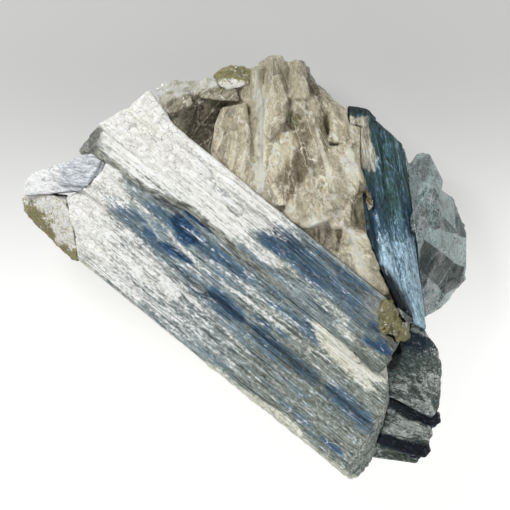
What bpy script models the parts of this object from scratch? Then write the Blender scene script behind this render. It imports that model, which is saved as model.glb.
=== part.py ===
"""Kyanite blade cluster: blades of kyanite grown through quartz, with patches of mica, as one loose specimen.

Every crystal is built from convex blocks: a blade is a bundle of laths side by side, and a quartz crystal is
a set of columns and lumps. The blocks of one crystal are joined, and the crystal is then cut back from the
crystals that grew before it. Lengths are in millimetres until the mesh is made. X runs to the right and Y up
the broad front of the specimen, which faces +Z; the origin is on the resting plane under its middle.
"""

import math
import random

import bmesh
import bpy
from mathutils import Matrix, Vector
from mathutils.bvhtree import BVHTree

MM = 0.001
GAP = 0.3  # left open where two crystals meet

# The two large blades lie side by side along one heading. U runs along them and V across them.
BLADE_HEADING = math.radians(-39)
FACE_HEIGHT = 33.0  # the front blade's broad face, at the ledge
FACE_SLOPE = 0.12  # the broad face drops towards the specimen's lower left edge
LEDGE_RISE = 2.6
# The V of the ledge's edge, from its left end to its right: pairs of (U, V).
LEDGE_EDGE = ((-43.4, 0.2), (-29.0, 0.3), (-17.0, 3.3), (-3.0, 2.7), (38.6, 1.6))
LEDGE_WALL = 1.7  # how far the ledge's wall runs out from its edge to its foot
# The U where the two blades are broken off, from the lower left edge to the quartz: pairs of (V, U).
LEFT_BREAK = (
    (-22.2, -29.8),
    (-18.5, -33.7),
    (-14.6, -38.6),
    (-12.4, -41.2),
    (-8.0, -38.4),
    (-1.0, -38.2),
    (3.8, -45.4),
    (5.7, -45.2),
    (11.7, -42.5),
    (15.4, -40.8),
)
RIGHT_BREAK = (
    (-22.2, 46.0),
    (-19.0, 46.0),
    (-9.5, 44.8),
    (-4.0, 44.2),
    (0.0, 41.6),
    (2.0, 38.4),
    (15.0, 36.4),
)
# How far the right break's face runs out from its upper edge to its foot: pairs of (V, distance).
BREAK_RUN = ((-22.2, 3.4), (-18.0, 4.6), (-10.0, 4.2), (-4.0, 1.2), (15.0, 0.8))
LEFT_BREAK_RUN = 1.4  # and the left break's, inwards
LATH_OVERLAP = 0.1  # how far each lath runs into its neighbour
FACE_DIP = 0.2  # how much lower a lath's face lies at its right end
LEDGE_UNDERSIDE = 14.0
LEDGE_INNER = 5.0  # the V where the ledge's wall has joined the laths behind it

# Slivers that stand proud of the laths: the ranges of their sizes, and how deep they root in the face.
SLIVER_LENGTH = (9, 26)
SLIVER_WIDTH = (0.9, 2.0)
SLIVER_LIFT = (0.3, 0.8)
SLIVER_ROOT = 3.0

# The right blade's two sides, top to bottom, and the height of its face along each.
RIGHT_BLADE_LEFT = (
    (26.6, 35.5, 28.4),
    (26.2, 21.8, 30.6),
    (27.9, 7.2, 33.2),
    (31.8, -2.9, 34.0),
    (37.8, -12.4, 32.4),
)
RIGHT_BLADE_RIGHT = (
    (35.4, 27.8, 23.0),
    (36.6, 21.4, 23.4),
    (38.2, 10.6, 25.2),
    (39.5, -2.9, 27.8),
    (40.8, -13.9, 29.4),
)

# Small splinters on the face of the milky quartz: how many, where, and the ranges of half their sizes.
QUARTZ_SHARDS = 36
SHARD_FIELD = ((-6, 33), (-6, 36))
SHARD_LOWEST = 24  # none grows on a face that lies lower than this
SHARD_LENGTH = (1.6, 4.2)
SHARD_WIDTH = (0.8, 1.7)
SHARD_CORNERS = 7

# The ring of broken lumps round the back of the quartz.
BACK_LUMPS = 9
BACK_RING = ((2.0, 3.0), (17.0, 18.5))  # its middle, and its half widths along X and Y
BACK_LUMP_REACH = (4.5, 7.5)
BACK_LUMP_LOWEST = (1.2, 4.5)
BACK_LUMP_TOP = 15.0


# ---------------------------------------------------------------- blocks


def between(stops, value):
    """The line through stops, pairs of (value, result), read at value."""
    for (a, low), (b, high) in zip(stops, stops[1:]):
        if value <= b:
            return low + (high - low) * max(value - a, 0.0) / (b - a)
    return stops[-1][1]


def turned(u, v, heading):
    """The point U along and V across a heading, as X and Y."""
    return u * math.cos(heading) - v * math.sin(heading), u * math.sin(heading) + v * math.cos(heading)


def stone(top, bottom, spread=1.0, shift=(0.0, 0.0)):
    """A block with the top corners (x, y, z), and their outline at bottom, scaled by spread and shifted."""
    centre = sum((Vector(p[:2]) for p in top), Vector((0, 0))) / len(top)
    foot = [centre + (Vector(p[:2]) - centre) * spread + Vector(shift) for p in top]
    return [Vector(p) for p in top] + [Vector((p.x, p.y, bottom)) for p in foot]


def column(foot, head, widths, rise, bottom, lean=0.0):
    """A column from foot to head, (x, y, z) on its ridge, with a roof that falls by rise to its sides."""
    points = []
    axis = (Vector(head[:2]) - Vector(foot[:2])).normalized()
    side = Vector((axis.y, -axis.x))
    for end, width in ((foot, widths[0]), (head, widths[1])):
        ridge = Vector(end[:2])
        for across, drop in ((-0.5, rise), (-0.22 + lean, 0.0), (0.2 + lean, 0.25 * rise), (0.5, 0.9 * rise)):
            spot = ridge + side * across * width
            points.append(Vector((spot.x, spot.y, end[2] - drop)))
        for across in (-0.5, 0.5):
            spot = ridge + side * across * width
            points.append(Vector((spot.x, spot.y, bottom)))
    return points


def chipped(points, share, seed):
    """The block with each corner knocked off, by up to share of the way to its neighbours on the hull."""
    dice = random.Random(seed)
    mesh = hull(points)
    corners = []
    for corner in mesh.verts:
        for edge in corner.link_edges:
            step = edge.other_vert(corner).co - corner.co
            reach = min(step.length * share, 2.5)
            corners.append(corner.co + step.normalized() * reach * dice.uniform(0.35, 1.0))
    mesh.free()
    return corners


def hull(points):
    mesh = bmesh.new()
    for point in points:
        mesh.verts.new(point)
    made = bmesh.ops.convex_hull(mesh, input=mesh.verts)
    inside = {v for v in made["geom_interior"] + made["geom_unused"] if isinstance(v, bmesh.types.BMVert)}
    bmesh.ops.delete(mesh, geom=list(inside), context="VERTS")
    bmesh.ops.recalc_face_normals(mesh, faces=mesh.faces)
    mesh.normal_update()
    return mesh


# ---------------------------------------------------------------- solids


def block_object(points, margin=0.0):
    """The convex block round points as an object, its faces moved out by margin."""
    mesh = hull(points)
    offsets = [corner.normal * corner.calc_shell_factor() * margin for corner in mesh.verts]
    for corner, offset in zip(mesh.verts, offsets):
        corner.co = (corner.co + offset) * MM
    data = bpy.data.meshes.new("block")
    mesh.to_mesh(data)
    mesh.free()
    return bpy.data.objects.new("block", data)


def boolean(obj, blocks, operation, margin=0.0):
    """obj joined with or cut by all the blocks at once."""
    group = bpy.data.collections.new("group")
    bpy.context.scene.collection.children.link(group)
    for block in blocks:
        group.objects.link(block_object(block, margin))
    modifier = obj.modifiers.new(operation.lower(), "BOOLEAN")
    modifier.operation = operation
    modifier.solver = "EXACT"
    modifier.operand_type = "COLLECTION"
    modifier.collection = group
    evaluated = obj.evaluated_get(bpy.context.evaluated_depsgraph_get())
    made = bpy.data.meshes.new_from_object(evaluated)
    obj.modifiers.clear()
    obj.data = made
    for other in list(group.objects):
        bpy.data.objects.remove(other)
    bpy.data.collections.remove(group)


def volume_of(verts):
    """The volume enclosed by the faces of verts."""
    faces = {face for vert in verts for face in vert.link_faces}
    volume = 0.0
    for face in faces:
        first, *rest = [vert.co for vert in face.verts]
        for a, b in zip(rest, rest[1:]):
            volume += first.dot(a.cross(b)) / 6
    return volume


def keep_largest(data):
    """Keeps the largest connected body of a mesh, and drops the slivers that a cut has left loose."""
    mesh = bmesh.new()
    mesh.from_mesh(data)
    left, bodies = set(mesh.verts), []
    while left:
        body, frontier = set(), [left.pop()]
        while frontier:
            vert = frontier.pop()
            body.add(vert)
            for edge in vert.link_edges:
                other = edge.other_vert(vert)
                if other in left:
                    left.discard(other)
                    frontier.append(other)
        bodies.append(body)
    bodies.sort(key=volume_of)
    bmesh.ops.delete(mesh, geom=[vert for body in bodies[:-1] for vert in body], context="VERTS")
    mesh.to_mesh(data)
    mesh.free()


def material(name, colour, roughness):
    made = bpy.data.materials.new(name)
    made.use_nodes = True
    shader = made.node_tree.nodes["Principled BSDF"]
    shader.inputs["Base Color"].default_value = (*colour, 1)
    shader.inputs["Roughness"].default_value = roughness
    return made


def crystal(name, blocks, before, finish):
    """One crystal: its blocks joined, then cut back from the blocks of the crystals that grew before it."""
    obj = block_object(blocks[0])
    obj.name = name
    bpy.context.scene.collection.objects.link(obj)
    if len(blocks) > 1:
        boolean(obj, blocks[1:], "UNION")
    if before:
        boolean(obj, before, "DIFFERENCE", GAP)
    keep_largest(obj.data)
    obj.data.name = name
    obj.data.materials.clear()
    obj.data.materials.append(finish)
    return obj


# ---------------------------------------------------------------- kyanite blades


def face_height(v):
    """The broad face of the front blade, across the blade."""
    return FACE_HEIGHT - FACE_SLOPE * (2.2 - v)


def main_lath(v0, v1, rise, bottom, slope=0.0, flare=0.0):
    """One lath of the two large blades, from break to break.

    Its face is raised by rise and tipped by slope across its width. flare leans its sides out at the foot.
    """
    corners = []
    for v, side in ((v0, -1), (v1, 1)):
        z = face_height(v) + rise + slope * side * (v1 - v0) / 2
        face = v + LATH_OVERLAP * side
        foot = face + side * flare
        start = between(LEFT_BREAK, v)
        end = between(RIGHT_BREAK, v)
        corners.append((*turned(start, face, BLADE_HEADING), z))
        corners.append((*turned(end, face, BLADE_HEADING), z - FACE_DIP))
        corners.append((*turned(start + LEFT_BREAK_RUN, foot, BLADE_HEADING), bottom))
        corners.append((*turned(end + between(BREAK_RUN, v), foot, BLADE_HEADING), bottom))
    return [Vector(corner) for corner in corners]


def sliver(u, v, length, width, rise, lift):
    """A thin lath that stands proud of the face: its left end at (U, V), tapered at both ends."""
    corners = []
    for share, wide, high in ((0.0, 0.2, 0.2), (0.12, 1.0, 1.0), (0.9, 0.9, 0.9), (1.0, 0.3, 0.1)):
        for side in (-1, 1):
            across = v + side * width * wide / 2
            spot = turned(u + length * share, across, BLADE_HEADING)
            corners.append((*spot, face_height(across) + rise + lift * high))
            corners.append((*spot, face_height(v) + rise - SLIVER_ROOT))
    return [Vector(corner) for corner in corners]


def scattered_slivers(seed, count, us, vs, rise):
    """Slivers strewn along a blade's face, inside the ranges us and vs."""
    dice = random.Random(seed)
    made = []
    for n in range(count):
        length = dice.uniform(*SLIVER_LENGTH)
        u = dice.uniform(us[0], us[1] - length)
        v = vs[0] + (vs[1] - vs[0]) * (n + dice.uniform(0.1, 0.9)) / count
        made.append(sliver(u, v, length, dice.uniform(*SLIVER_WIDTH), rise, dice.uniform(*SLIVER_LIFT)))
    return made


def front_blade():
    """The broad blade along the lower left: laths in two terraces, with a step between them."""
    laths = (
        # V from, V to, rise, underside, slope, flare
        (-21.7, -19.2, -1.5, 17.5, 0.25, 0.3),
        (-19.2, -16.2, -0.8, 15.5, 0.06),
        (-16.2, -12.8, -0.5, 14.0, -0.05),
        (-12.8, -9.1, -1.2, 13.0, -0.1),
        (-9.1, -6.2, 0.3, 12.5, 0.14),
        (-6.2, -3.2, 0.5, 12.0, -0.05),
        (-3.2, -0.6, 0.0, 12.5, -0.08),
        (-0.6, 2.8, -0.5, 13.5, 0.0),
    )
    blocks = [main_lath(*lath) for lath in laths]
    blocks += scattered_slivers(5, 8, (-34, 42), (-20.0, -10.0), -1.0)
    return blocks + scattered_slivers(9, 8, (-36, 40), (-8.6, 1.0), 0.0)


def ledge_blade():
    """The blade that stands as a ledge above the front blade, with its splayed left end."""
    laths = (
        (4.4, 7.4, LEDGE_RISE, 13.5, -0.03),
        (7.4, 10.4, LEDGE_RISE - 0.4, 13.0, 0.05),
        (10.4, 12.8, LEDGE_RISE - 0.8, 13.5, -0.1),
        (12.8, 14.5, LEDGE_RISE - 1.5, 15.0, -0.25),
    )
    blocks = [main_lath(*lath) for lath in laths]
    for (u0, v0), (u1, v1) in zip(LEDGE_EDGE, LEDGE_EDGE[1:]):
        corners = []
        for u, v in ((u0, v0), (u1, v1)):
            edge = turned(u, v, BLADE_HEADING)
            wall_foot = turned(u, v - LEDGE_WALL, BLADE_HEADING)
            behind = turned(u, LEDGE_INNER, BLADE_HEADING)
            corners.append((*edge, face_height(v) + LEDGE_RISE - 0.2))
            corners.append((*wall_foot, face_height(v) - 0.6))
            corners.append((*wall_foot, LEDGE_UNDERSIDE))
            corners.append((*behind, face_height(LEDGE_INNER) + LEDGE_RISE - 0.1))
            corners.append((*behind, LEDGE_UNDERSIDE))
        blocks.append([Vector(corner) for corner in corners])
    splayed = ((-42.5, 11.7), (-40.6, 15.6), (-41.4, 17.4), (-37.8, 16.4), (-31.4, 13.8), (-25.6, 13.2))
    top = [(*turned(u, v, BLADE_HEADING), face_height(v) + 0.4) for u, v in splayed]
    blocks.append(stone(top, 16.0, 0.96))
    return blocks + scattered_slivers(14, 7, (-38, 35), (4.6, 13.0), LEDGE_RISE - 0.4)


def left_end_blade():
    """The short plate at the left tip, broken from the front blade and set a little askew."""
    plate = (
        (-41.9, -0.6),
        (-44.7, -5.2),
        (-48.7, -11.0),
        (-50.5, -13.9),
        (-50.2, -16.6),
        (-48.6, -18.4),
        (-44.6, -14.8),
        (-38.6, -9.0),
        (-38.2, -1.0),
    )
    top = [(*turned(u, v, BLADE_HEADING), face_height(v) + 0.3 + 0.24 * (u + 38.6)) for u, v in plate]
    slab = ((-43.8, -4.6), (-40.0, -1.6), (-38.8, -8.0), (-44.0, -11.6), (-47.8, -10.8))
    raised = [(*turned(u, v, BLADE_HEADING), face_height(v) + 1.0 + 0.2 * (u + 40)) for u, v in slab]
    return [stone(top, 19.0, 0.95, (0.8, 0.0)), stone(raised, 22.0, 1.02)]


def on_right_blade(share, place):
    """A point of the right blade's face: share of the way across it, at place, counted in its stations."""
    station = min(int(place), len(RIGHT_BLADE_LEFT) - 2)
    left = Vector(RIGHT_BLADE_LEFT[station]).lerp(Vector(RIGHT_BLADE_LEFT[station + 1]), place - station)
    right = Vector(RIGHT_BLADE_RIGHT[station]).lerp(Vector(RIGHT_BLADE_RIGHT[station + 1]), place - station)
    return left.lerp(right, share)


def right_lath(shares, places, rise, bottom):
    """One lath of the right blade, between two shares of its width and two places along it."""
    top = []
    for place in places:
        for share in shares:
            spot = on_right_blade(share, place)
            top.append((spot.x, spot.y, spot.z + rise * (1 + 0.3 * share)))
    return stone(top, bottom, 1.0, (0.4, 0.0))


def right_blade():
    """The blade that crosses the quartz on the right: laths that close up towards its lower end."""
    laths = (
        # shares of the width, how far the face is raised, underside
        ((0.0, 0.2), -0.2, 12.0),
        ((0.19, 0.4), 0.5, 11.0),
        ((0.39, 0.56), -0.1, 10.5),
        ((0.55, 0.76), 0.6, 11.0),
        ((0.75, 0.9), 0.1, 12.0),
        ((0.89, 1.0), -0.6, 12.5),
    )
    blocks = []
    for shares, rise, bottom in laths:
        for places in ((0, 1, 2), (2, 3), (3, 4)):
            blocks.append(right_lath(shares, places, rise, bottom))
    cap = (
        (23.6, 36.2, 27.0),
        (25.8, 35.9, 26.6),
        (28.0, 35.3, 26.0),
        (29.6, 33.5, 25.6),
        (27.4, 31.6, 28.8),
        (24.0, 32.2, 29.0),
    )
    blocks.append(stone(cap, 13.0))
    return blocks


def splinters():
    """The dark slivers broken from the right blade's lower left edge."""
    return [
        stone(((30.4, -0.6, 33.6), (31.8, -1.6, 34.6), (36.0, -10.6, 33.0), (34.8, -9.4, 32.0)), 20.0),
        stone(((32.0, -3.0, 34.8), (33.2, -3.4, 33.6), (37.4, -12.2, 32.8), (35.4, -10.4, 33.4)), 20.0),
    ]


def under_blade_upper():
    """The broad grey blade under the right end, with its face rolling away to the right."""
    broad = (
        (32.0, -13.4, 25.5),
        (37.0, -13.8, 25.2),
        (40.6, -14.6, 23.6),
        (43.8, -18.8, 19.6),
        (44.6, -22.0, 17.6),
        (44.6, -26.5, 16.8),
        (44.0, -32.0, 17.2),
        (42.4, -34.2, 18.6),
        (36.5, -30.8, 22.4),
        (28.0, -26.6, 24.5),
        (20.0, -22.0, 24.0),
    )
    crest = (
        (32.0, -19.5, 26.0),
        (39.0, -19.6, 24.8),
        (41.0, -27.0, 22.2),
        (33.4, -27.4, 25.0),
        (24.0, -22.0, 25.5),
    )
    roll = (
        (35.0, -16.0, 26.0),
        (40.6, -17.0, 22.8),
        (43.6, -24.0, 18.8),
        (42.0, -32.0, 20.0),
        (36.0, -24.0, 25.0),
    )
    return [stone(broad, 9.0, 0.93), stone(crest, 12.0), stone(roll, 11.0)]


def under_blade_lower():
    """Four laths stepped one below the other, sticking out under the broad grey one."""
    steps = (
        # start and end of the lath's middle, its width, and its height at each
        ((32.4, -31.0), (43.8, -34.9), 4.4, 21.4, 16.0),
        ((31.0, -34.8), (42.0, -38.0), 4.8, 21.0, 17.2),
        ((30.0, -38.8), (41.6, -41.4), 4.6, 18.6, 14.6),
        ((29.5, -41.4), (39.4, -43.1), 3.6, 15.0, 12.2),
    )
    blocks = []
    for start, end, width, high, low in steps:
        start, end = Vector(start), Vector(end)
        along = (end - start).normalized()
        side = Vector((-along.y, along.x)) * width / 2
        root = start - along * 14
        top = [
            (*(root + side * 0.5), high - 1.0),
            (*(start + side), high),
            (*(end + side * 0.8), low),
            (*(end + along * 0.9), low - 0.8),
            (*(end - side * 0.8), low - 0.4),
            (*(start - side), high - 0.6),
            (*(root - side * 0.5), high - 1.4),
        ]
        blocks.append(stone(top, 7.5, 0.94))
    return blocks


# ---------------------------------------------------------------- quartz


def highest(blocks, x, y):
    """The height of the uppermost block over (x, y), or None where there is none."""
    found = None
    for block in blocks:
        mesh = hull(block)
        hit = BVHTree.FromBMesh(mesh).ray_cast(Vector((x, y, 60)), Vector((0, 0, -1)))[0]
        mesh.free()
        if hit is not None and (found is None or hit.z > found):
            found = hit.z
    return found


def shards(seed, count, blocks):
    """Small splintered pieces that stand up from the blocks, each drawn out along the columns."""
    dice = random.Random(seed)
    made = []
    while len(made) < count:
        x, y = dice.uniform(*SHARD_FIELD[0]), dice.uniform(*SHARD_FIELD[1])
        z = highest(blocks, x, y)
        if z is None or z < SHARD_LOWEST:
            continue
        length, width = dice.uniform(*SHARD_LENGTH), dice.uniform(*SHARD_WIDTH)
        lean = dice.uniform(-0.35, 0.35)
        corners = []
        for _ in range(SHARD_CORNERS):
            along, across = dice.uniform(-1, 1) * length, dice.uniform(-1, 1) * width
            corners.append(Vector((x + across + along * lean, y + along, z + dice.uniform(-0.6, 1.3))))
        corners.append(Vector((x, y, z - 2.0)))
        made.append(corners)
    return made


def back_lumps(seed):
    """Broken lumps round the back of the quartz, which stop short of the plane that the specimen rests on."""
    dice = random.Random(seed)
    (middle_x, middle_y), (half_x, half_y) = BACK_RING
    made = []
    for n in range(BACK_LUMPS):
        angle = 2 * math.pi * (n + dice.uniform(-0.3, 0.3)) / BACK_LUMPS
        x, y = middle_x + half_x * math.cos(angle), middle_y + half_y * math.sin(angle)
        outline = []
        for corner in range(6):
            turn = math.pi / 3 * (corner + dice.uniform(-0.3, 0.3))
            reach = dice.uniform(*BACK_LUMP_REACH)
            outline.append((x + reach * math.cos(turn), y + reach * math.sin(turn), BACK_LUMP_TOP))
        made.append(stone(outline, dice.uniform(*BACK_LUMP_LOWEST), dice.uniform(0.55, 0.8)))
    return made


def milky_quartz():
    """The pale quartz between the blades: the mass under them all, and the columns that rise from it."""
    foot = (
        (-31.0, 2.0, 15.0),
        (-26.0, 22.0, 17.0),
        (-8.0, 35.0, 20.0),
        (14.0, 37.0, 20.0),
        (31.0, 22.0, 18.0),
        (36.0, -6.0, 15.0),
        (30.0, -30.0, 13.0),
        (22.0, -35.0, 12.0),
        (-6.0, -15.0, 13.5),
    )
    shoulder = (
        (-20.0, 6.0, 16.0),
        (-14.0, 31.0, 17.0),
        (16.0, 34.0, 17.0),
        (22.0, 12.0, 16.0),
        (4.0, -6.0, 15.0),
    )
    heel = (
        (-4.0, -6.0, 15.0),
        (28.0, 8.0, 15.0),
        (37.0, -12.0, 14.0),
        (31.0, -33.0, 12.0),
        (20.0, -33.0, 12.0),
    )
    body = (
        (-12.0, 26.0, 27.0),
        (-1.0, 40.0, 25.0),
        (5.0, 44.4, 22.0),
        (14.0, 43.4, 21.6),
        (22.0, 35.8, 26.0),
        (27.0, 20.0, 32.0),
        (32.0, -4.0, 31.0),
        (35.5, -12.5, 29.0),
        (20.0, 2.0, 31.5),
        (-2.0, 19.0, 31.0),
    )
    lumps = (
        # outline with heights, and how far down the lump goes
        (
            (
                (-5.0, 35.8, 29.0),
                (0.4, 36.8, 29.6),
                (1.6, 28.6, 33.0),
                (0.8, 16.6, 34.0),
                (-7.0, 26.3, 31.6),
                (-6.5, 32.0, 30.4),
            ),
            12.0,
        ),
        (
            (
                (4.7, 38.4, 30.4),
                (9.9, 38.6, 30.0),
                (9.3, 32.4, 34.2),
                (6.0, 28.4, 36.0),
                (4.4, 30.0, 35.4),
            ),
            10.0,
        ),
        (
            (
                (4.7, 28.6, 34.4),
                (10.4, 30.6, 33.6),
                (12.8, 26.0, 34.8),
                (9.4, 14.0, 35.0),
                (5.2, 13.4, 34.6),
                (3.9, 19.6, 35.4),
            ),
            14.0,
        ),
        (((12.4, 39.0, 28.0), (17.2, 38.4, 26.0), (16.9, 26.3, 33.0), (13.2, 25.6, 34.0)), 9.0),
        (((19.2, 36.1, 28.4), (23.3, 36.1, 28.0), (23.2, 28.0, 32.0), (19.4, 28.0, 33.0)), 14.0),
        (
            (
                (19.6, 27.0, 33.4),
                (23.4, 27.2, 33.2),
                (25.8, 24.2, 33.0),
                (26.3, 19.6, 34.0),
                (24.6, 14.4, 35.6),
                (19.0, 17.4, 37.0),
            ),
            14.0,
        ),
        (((18.6, 18.0, 36.6), (24.6, 16.4, 35.4), (23.6, 8.6, 34.6), (19.6, 8.8, 34.8)), 14.0),
        (
            (
                (11.0, 18.6, 35.4),
                (17.4, 20.0, 36.2),
                (20.0, 11.0, 36.0),
                (13.6, 8.4, 34.4),
                (9.0, 12.0, 34.2),
            ),
            14.0,
        ),
        (
            (
                (22.4, 8.6, 34.4),
                (26.4, 9.6, 34.6),
                (28.6, 4.4, 34.6),
                (26.0, -2.0, 34.4),
                (21.4, 1.4, 33.6),
            ),
            14.0,
        ),
        (
            (
                (26.6, 3.0, 34.8),
                (29.0, 3.4, 34.4),
                (32.8, -5.6, 33.8),
                (30.6, -6.6, 33.8),
                (25.4, -2.4, 34.2),
            ),
            14.0,
        ),
        (((-0.4, 19.6, 33.4), (4.6, 18.6, 35.0), (5.6, 12.8, 34.0), (0.8, 15.2, 33.2)), 14.0),
        (
            (
                (22.0, 33.0, 29.4),
                (26.6, 32.4, 28.2),
                (27.0, 26.0, 29.6),
                (26.8, 18.6, 31.4),
                (24.0, 17.0, 33.6),
                (22.0, 24.0, 32.4),
            ),
            12.0,
        ),
    )
    columns = (
        # foot and head of the ridge, widths, fall to the sides, underside, lean of the ridge
        ((2.9, 15.6, 35.6), (3.2, 45.0, 26.4), (4.4, 3.0), 2.6, 12.0, -0.1),
        ((6.4, 30.0, 35.0), (7.3, 46.5, 25.6), (6.2, 4.8), 3.2, 9.0, 0.0),
        ((12.4, 28.0, 34.6), (12.2, 45.2, 24.6), (6.6, 5.0), 3.0, 8.0, 0.06),
        ((20.0, 13.0, 37.4), (15.4, 34.0, 33.0), (4.6, 3.8), 2.2, 12.0, -0.08),
        ((15.2, 12.0, 36.0), (13.6, 28.0, 35.0), (4.2, 3.4), 2.0, 12.0, 0.1),
        ((6.6, 38.0, 31.2), (7.4, 47.7, 25.4), (4.4, 2.8), 2.0, 10.0, 0.0),
        ((12.4, 38.0, 29.8), (12.2, 46.5, 24.6), (4.8, 3.0), 2.0, 9.0, 0.06),
    )
    blocks = [stone(foot, 0.0, 0.74, (1.0, -3.0)), chipped(stone(body, 8.0, 1.02), 0.1, 21)]
    blocks += [stone(shoulder, 2.6, 0.8, (-3.0, 5.0)), stone(heel, 1.6, 0.84, (1.5, -1.0))]
    blocks += [chipped(column(*sizes), 0.12, 30 + n) for n, sizes in enumerate(columns)]
    blocks += [chipped(stone(outline, bottom), 0.14, 50 + n) for n, (outline, bottom) in enumerate(lumps)]
    return blocks + shards(3, QUARTZ_SHARDS, blocks) + back_lumps(6)


def smoky_quartz():
    """The darker quartz at the upper left, round the hollow, with a squarish block on its outer edge."""
    lumps = (
        (
            (
                (-18.8, 38.6, 28.2),
                (-12.4, 39.4, 28.0),
                (-11.6, 36.6, 28.6),
                (-16.0, 34.6, 30.0),
                (-19.2, 34.8, 29.8),
            ),
            12.0,
        ),
        (((-17.6, 41.7, 24.4), (-10.8, 41.9, 24.0), (-9.2, 38.8, 26.0), (-18.4, 38.6, 27.4)), 12.0),
        (
            (
                (-20.0, 36.0, 27.0),
                (-12.0, 39.4, 25.6),
                (-3.0, 39.4, 24.0),
                (-5.4, 27.0, 26.0),
                (-10.0, 22.5, 29.0),
            ),
            11.0,
        ),
        (
            (
                (-12.4, 39.8, 25.0),
                (-8.8, 42.4, 24.0),
                (-2.4, 41.6, 25.2),
                (-1.0, 37.2, 28.6),
                (-9.0, 38.0, 28.2),
            ),
            12.0,
        ),
        (
            (
                (-22.4, 31.4, 29.0),
                (-16.0, 33.4, 29.8),
                (-13.4, 30.6, 29.0),
                (-11.0, 24.6, 31.0),
                (-14.0, 22.0, 32.0),
            ),
            13.0,
        ),
        (
            (
                (-13.0, 29.0, 29.4),
                (-9.6, 28.4, 29.0),
                (-7.6, 22.6, 32.2),
                (-10.0, 20.4, 33.0),
                (-13.6, 22.6, 32.6),
            ),
            13.0,
        ),
    )
    return [chipped(stone(outline, bottom), 0.14, 70 + n) for n, (outline, bottom) in enumerate(lumps)]


def clear_quartz():
    """The glassy crystal on the right edge: a peak, a broad outer face and a foot."""
    peak = (
        (36.4, 22.0, 21.0),
        (38.0, 23.4, 19.0),
        (39.8, 25.6, 17.0),
        (42.0, 25.6, 16.4),
        (43.4, 21.8, 17.4),
        (45.0, 19.8, 16.0),
        (42.4, 8.0, 25.0),
        (37.6, 8.0, 26.6),
    )
    outer = (
        (38.0, 12.0, 26.4),
        (42.8, 18.6, 21.0),
        (47.4, 15.6, 14.4),
        (49.2, 10.6, 13.0),
        (50.6, 7.3, 12.0),
        (50.6, -0.6, 11.0),
        (44.4, 5.0, 24.0),
        (39.6, 3.0, 26.4),
    )
    foot = (
        (39.6, 6.0, 26.0),
        (44.6, 5.2, 23.4),
        (50.5, 0.4, 11.2),
        (50.1, -2.5, 10.4),
        (47.2, -5.1, 11.0),
        (46.2, -7.8, 10.6),
        (41.8, -10.2, 14.0),
        (40.6, -11.6, 17.0),
        (39.4, -2.0, 26.0),
    )
    knob = (
        (34.4, 27.0, 21.4),
        (36.2, 26.8, 20.4),
        (37.2, 23.0, 20.4),
        (36.6, 19.0, 23.0),
        (34.4, 22.0, 23.6),
    )
    lobe = ((40.8, -2.2, 22.6), (44.0, -2.6, 19.6), (43.6, -5.8, 16.8), (41.0, -6.4, 18.4))
    blocks = [stone(peak, 7.0, 0.96), stone(outer, 5.0, 0.93), stone(foot, 4.5, 0.92)]
    blocks += [stone(knob, 10.0), stone(lobe, 8.0)]
    return [chipped(block, 0.08, 80 + n) for n, block in enumerate(blocks)]


# ---------------------------------------------------------------- mica


def olive_mica_rim():
    """The greenish mica and quartz that the left tip sits on, and that runs out along the lower left edge."""
    tip = (
        (-50.0, 15.3, 25.4),
        (-48.0, 17.6, 27.6),
        (-41.4, 15.6, 29.6),
        (-38.6, 11.7, 30.6),
        (-35.4, 6.0, 30.0),
        (-36.0, 1.4, 28.0),
        (-39.0, 1.8, 25.0),
        (-42.2, 6.0, 24.0),
        (-46.2, 9.6, 23.4),
        (-49.6, 12.6, 23.4),
    )
    lip = (
        (-37.2, 3.8, 28.8),
        (-34.6, 5.0, 29.4),
        (-29.6, -2.4, 27.6),
        (-31.8, -3.2, 25.0),
        (-36.0, -0.2, 24.6),
    )
    wedge = (
        (-37.6, 25.9, 22.0),
        (-33.2, 31.6, 23.0),
        (-30.0, 28.0, 25.0),
        (-34.0, 16.0, 24.0),
        (-42.0, 17.0, 22.0),
    )
    return [
        stone(tip, 13.0, 0.84, (1.6, 1.0)),
        stone(lip, 15.0, 0.9, (0.6, 0.4)),
        stone(wedge, 11.0, 0.9, (1.5, -1.0)),
    ]


def mica_patch():
    """The small olive books of mica in the corner where the ledge, the right blade and the quartz meet."""
    books = (
        (
            (31.4, -7.6, 36.8),
            (33.4, -7.8, 35.8),
            (34.8, -10.6, 36.0),
            (34.4, -15.8, 36.6),
            (31.6, -15.0, 38.0),
            (30.4, -10.4, 38.0),
        ),
        (
            (33.6, -10.2, 36.4),
            (36.4, -12.4, 34.8),
            (36.8, -15.6, 34.6),
            (34.0, -16.8, 36.2),
            (32.8, -13.0, 37.6),
        ),
    )
    return [stone(book, 24.0, 0.85) for book in books]


def mica_knob():
    """The rounded olive mica on the upper rim of the quartz."""
    crown = (
        (-6.8, 42.2, 22.6),
        (-5.4, 44.6, 20.8),
        (-3.2, 45.4, 20.4),
        (-0.6, 45.0, 20.6),
        (1.0, 44.0, 21.0),
        (2.0, 42.0, 22.6),
        (-1.2, 40.4, 26.6),
        (-5.4, 40.6, 26.4),
    )
    return [chipped(stone(crown, 14.0, 0.9), 0.16, 91)]


def centre(crystals):
    """Moves every crystal by the same step, so that the origin is under the middle of the specimen's box."""
    corners = [corner.co for obj in crystals for corner in obj.data.vertices]
    low = Vector([min(corner[axis] for corner in corners) for axis in range(3)])
    high = Vector([max(corner[axis] for corner in corners) for axis in range(3)])
    step = Vector(((low.x + high.x) / -2, (low.y + high.y) / -2, -low.z))
    for obj in crystals:
        obj.data.transform(Matrix.Translation(step))


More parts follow.
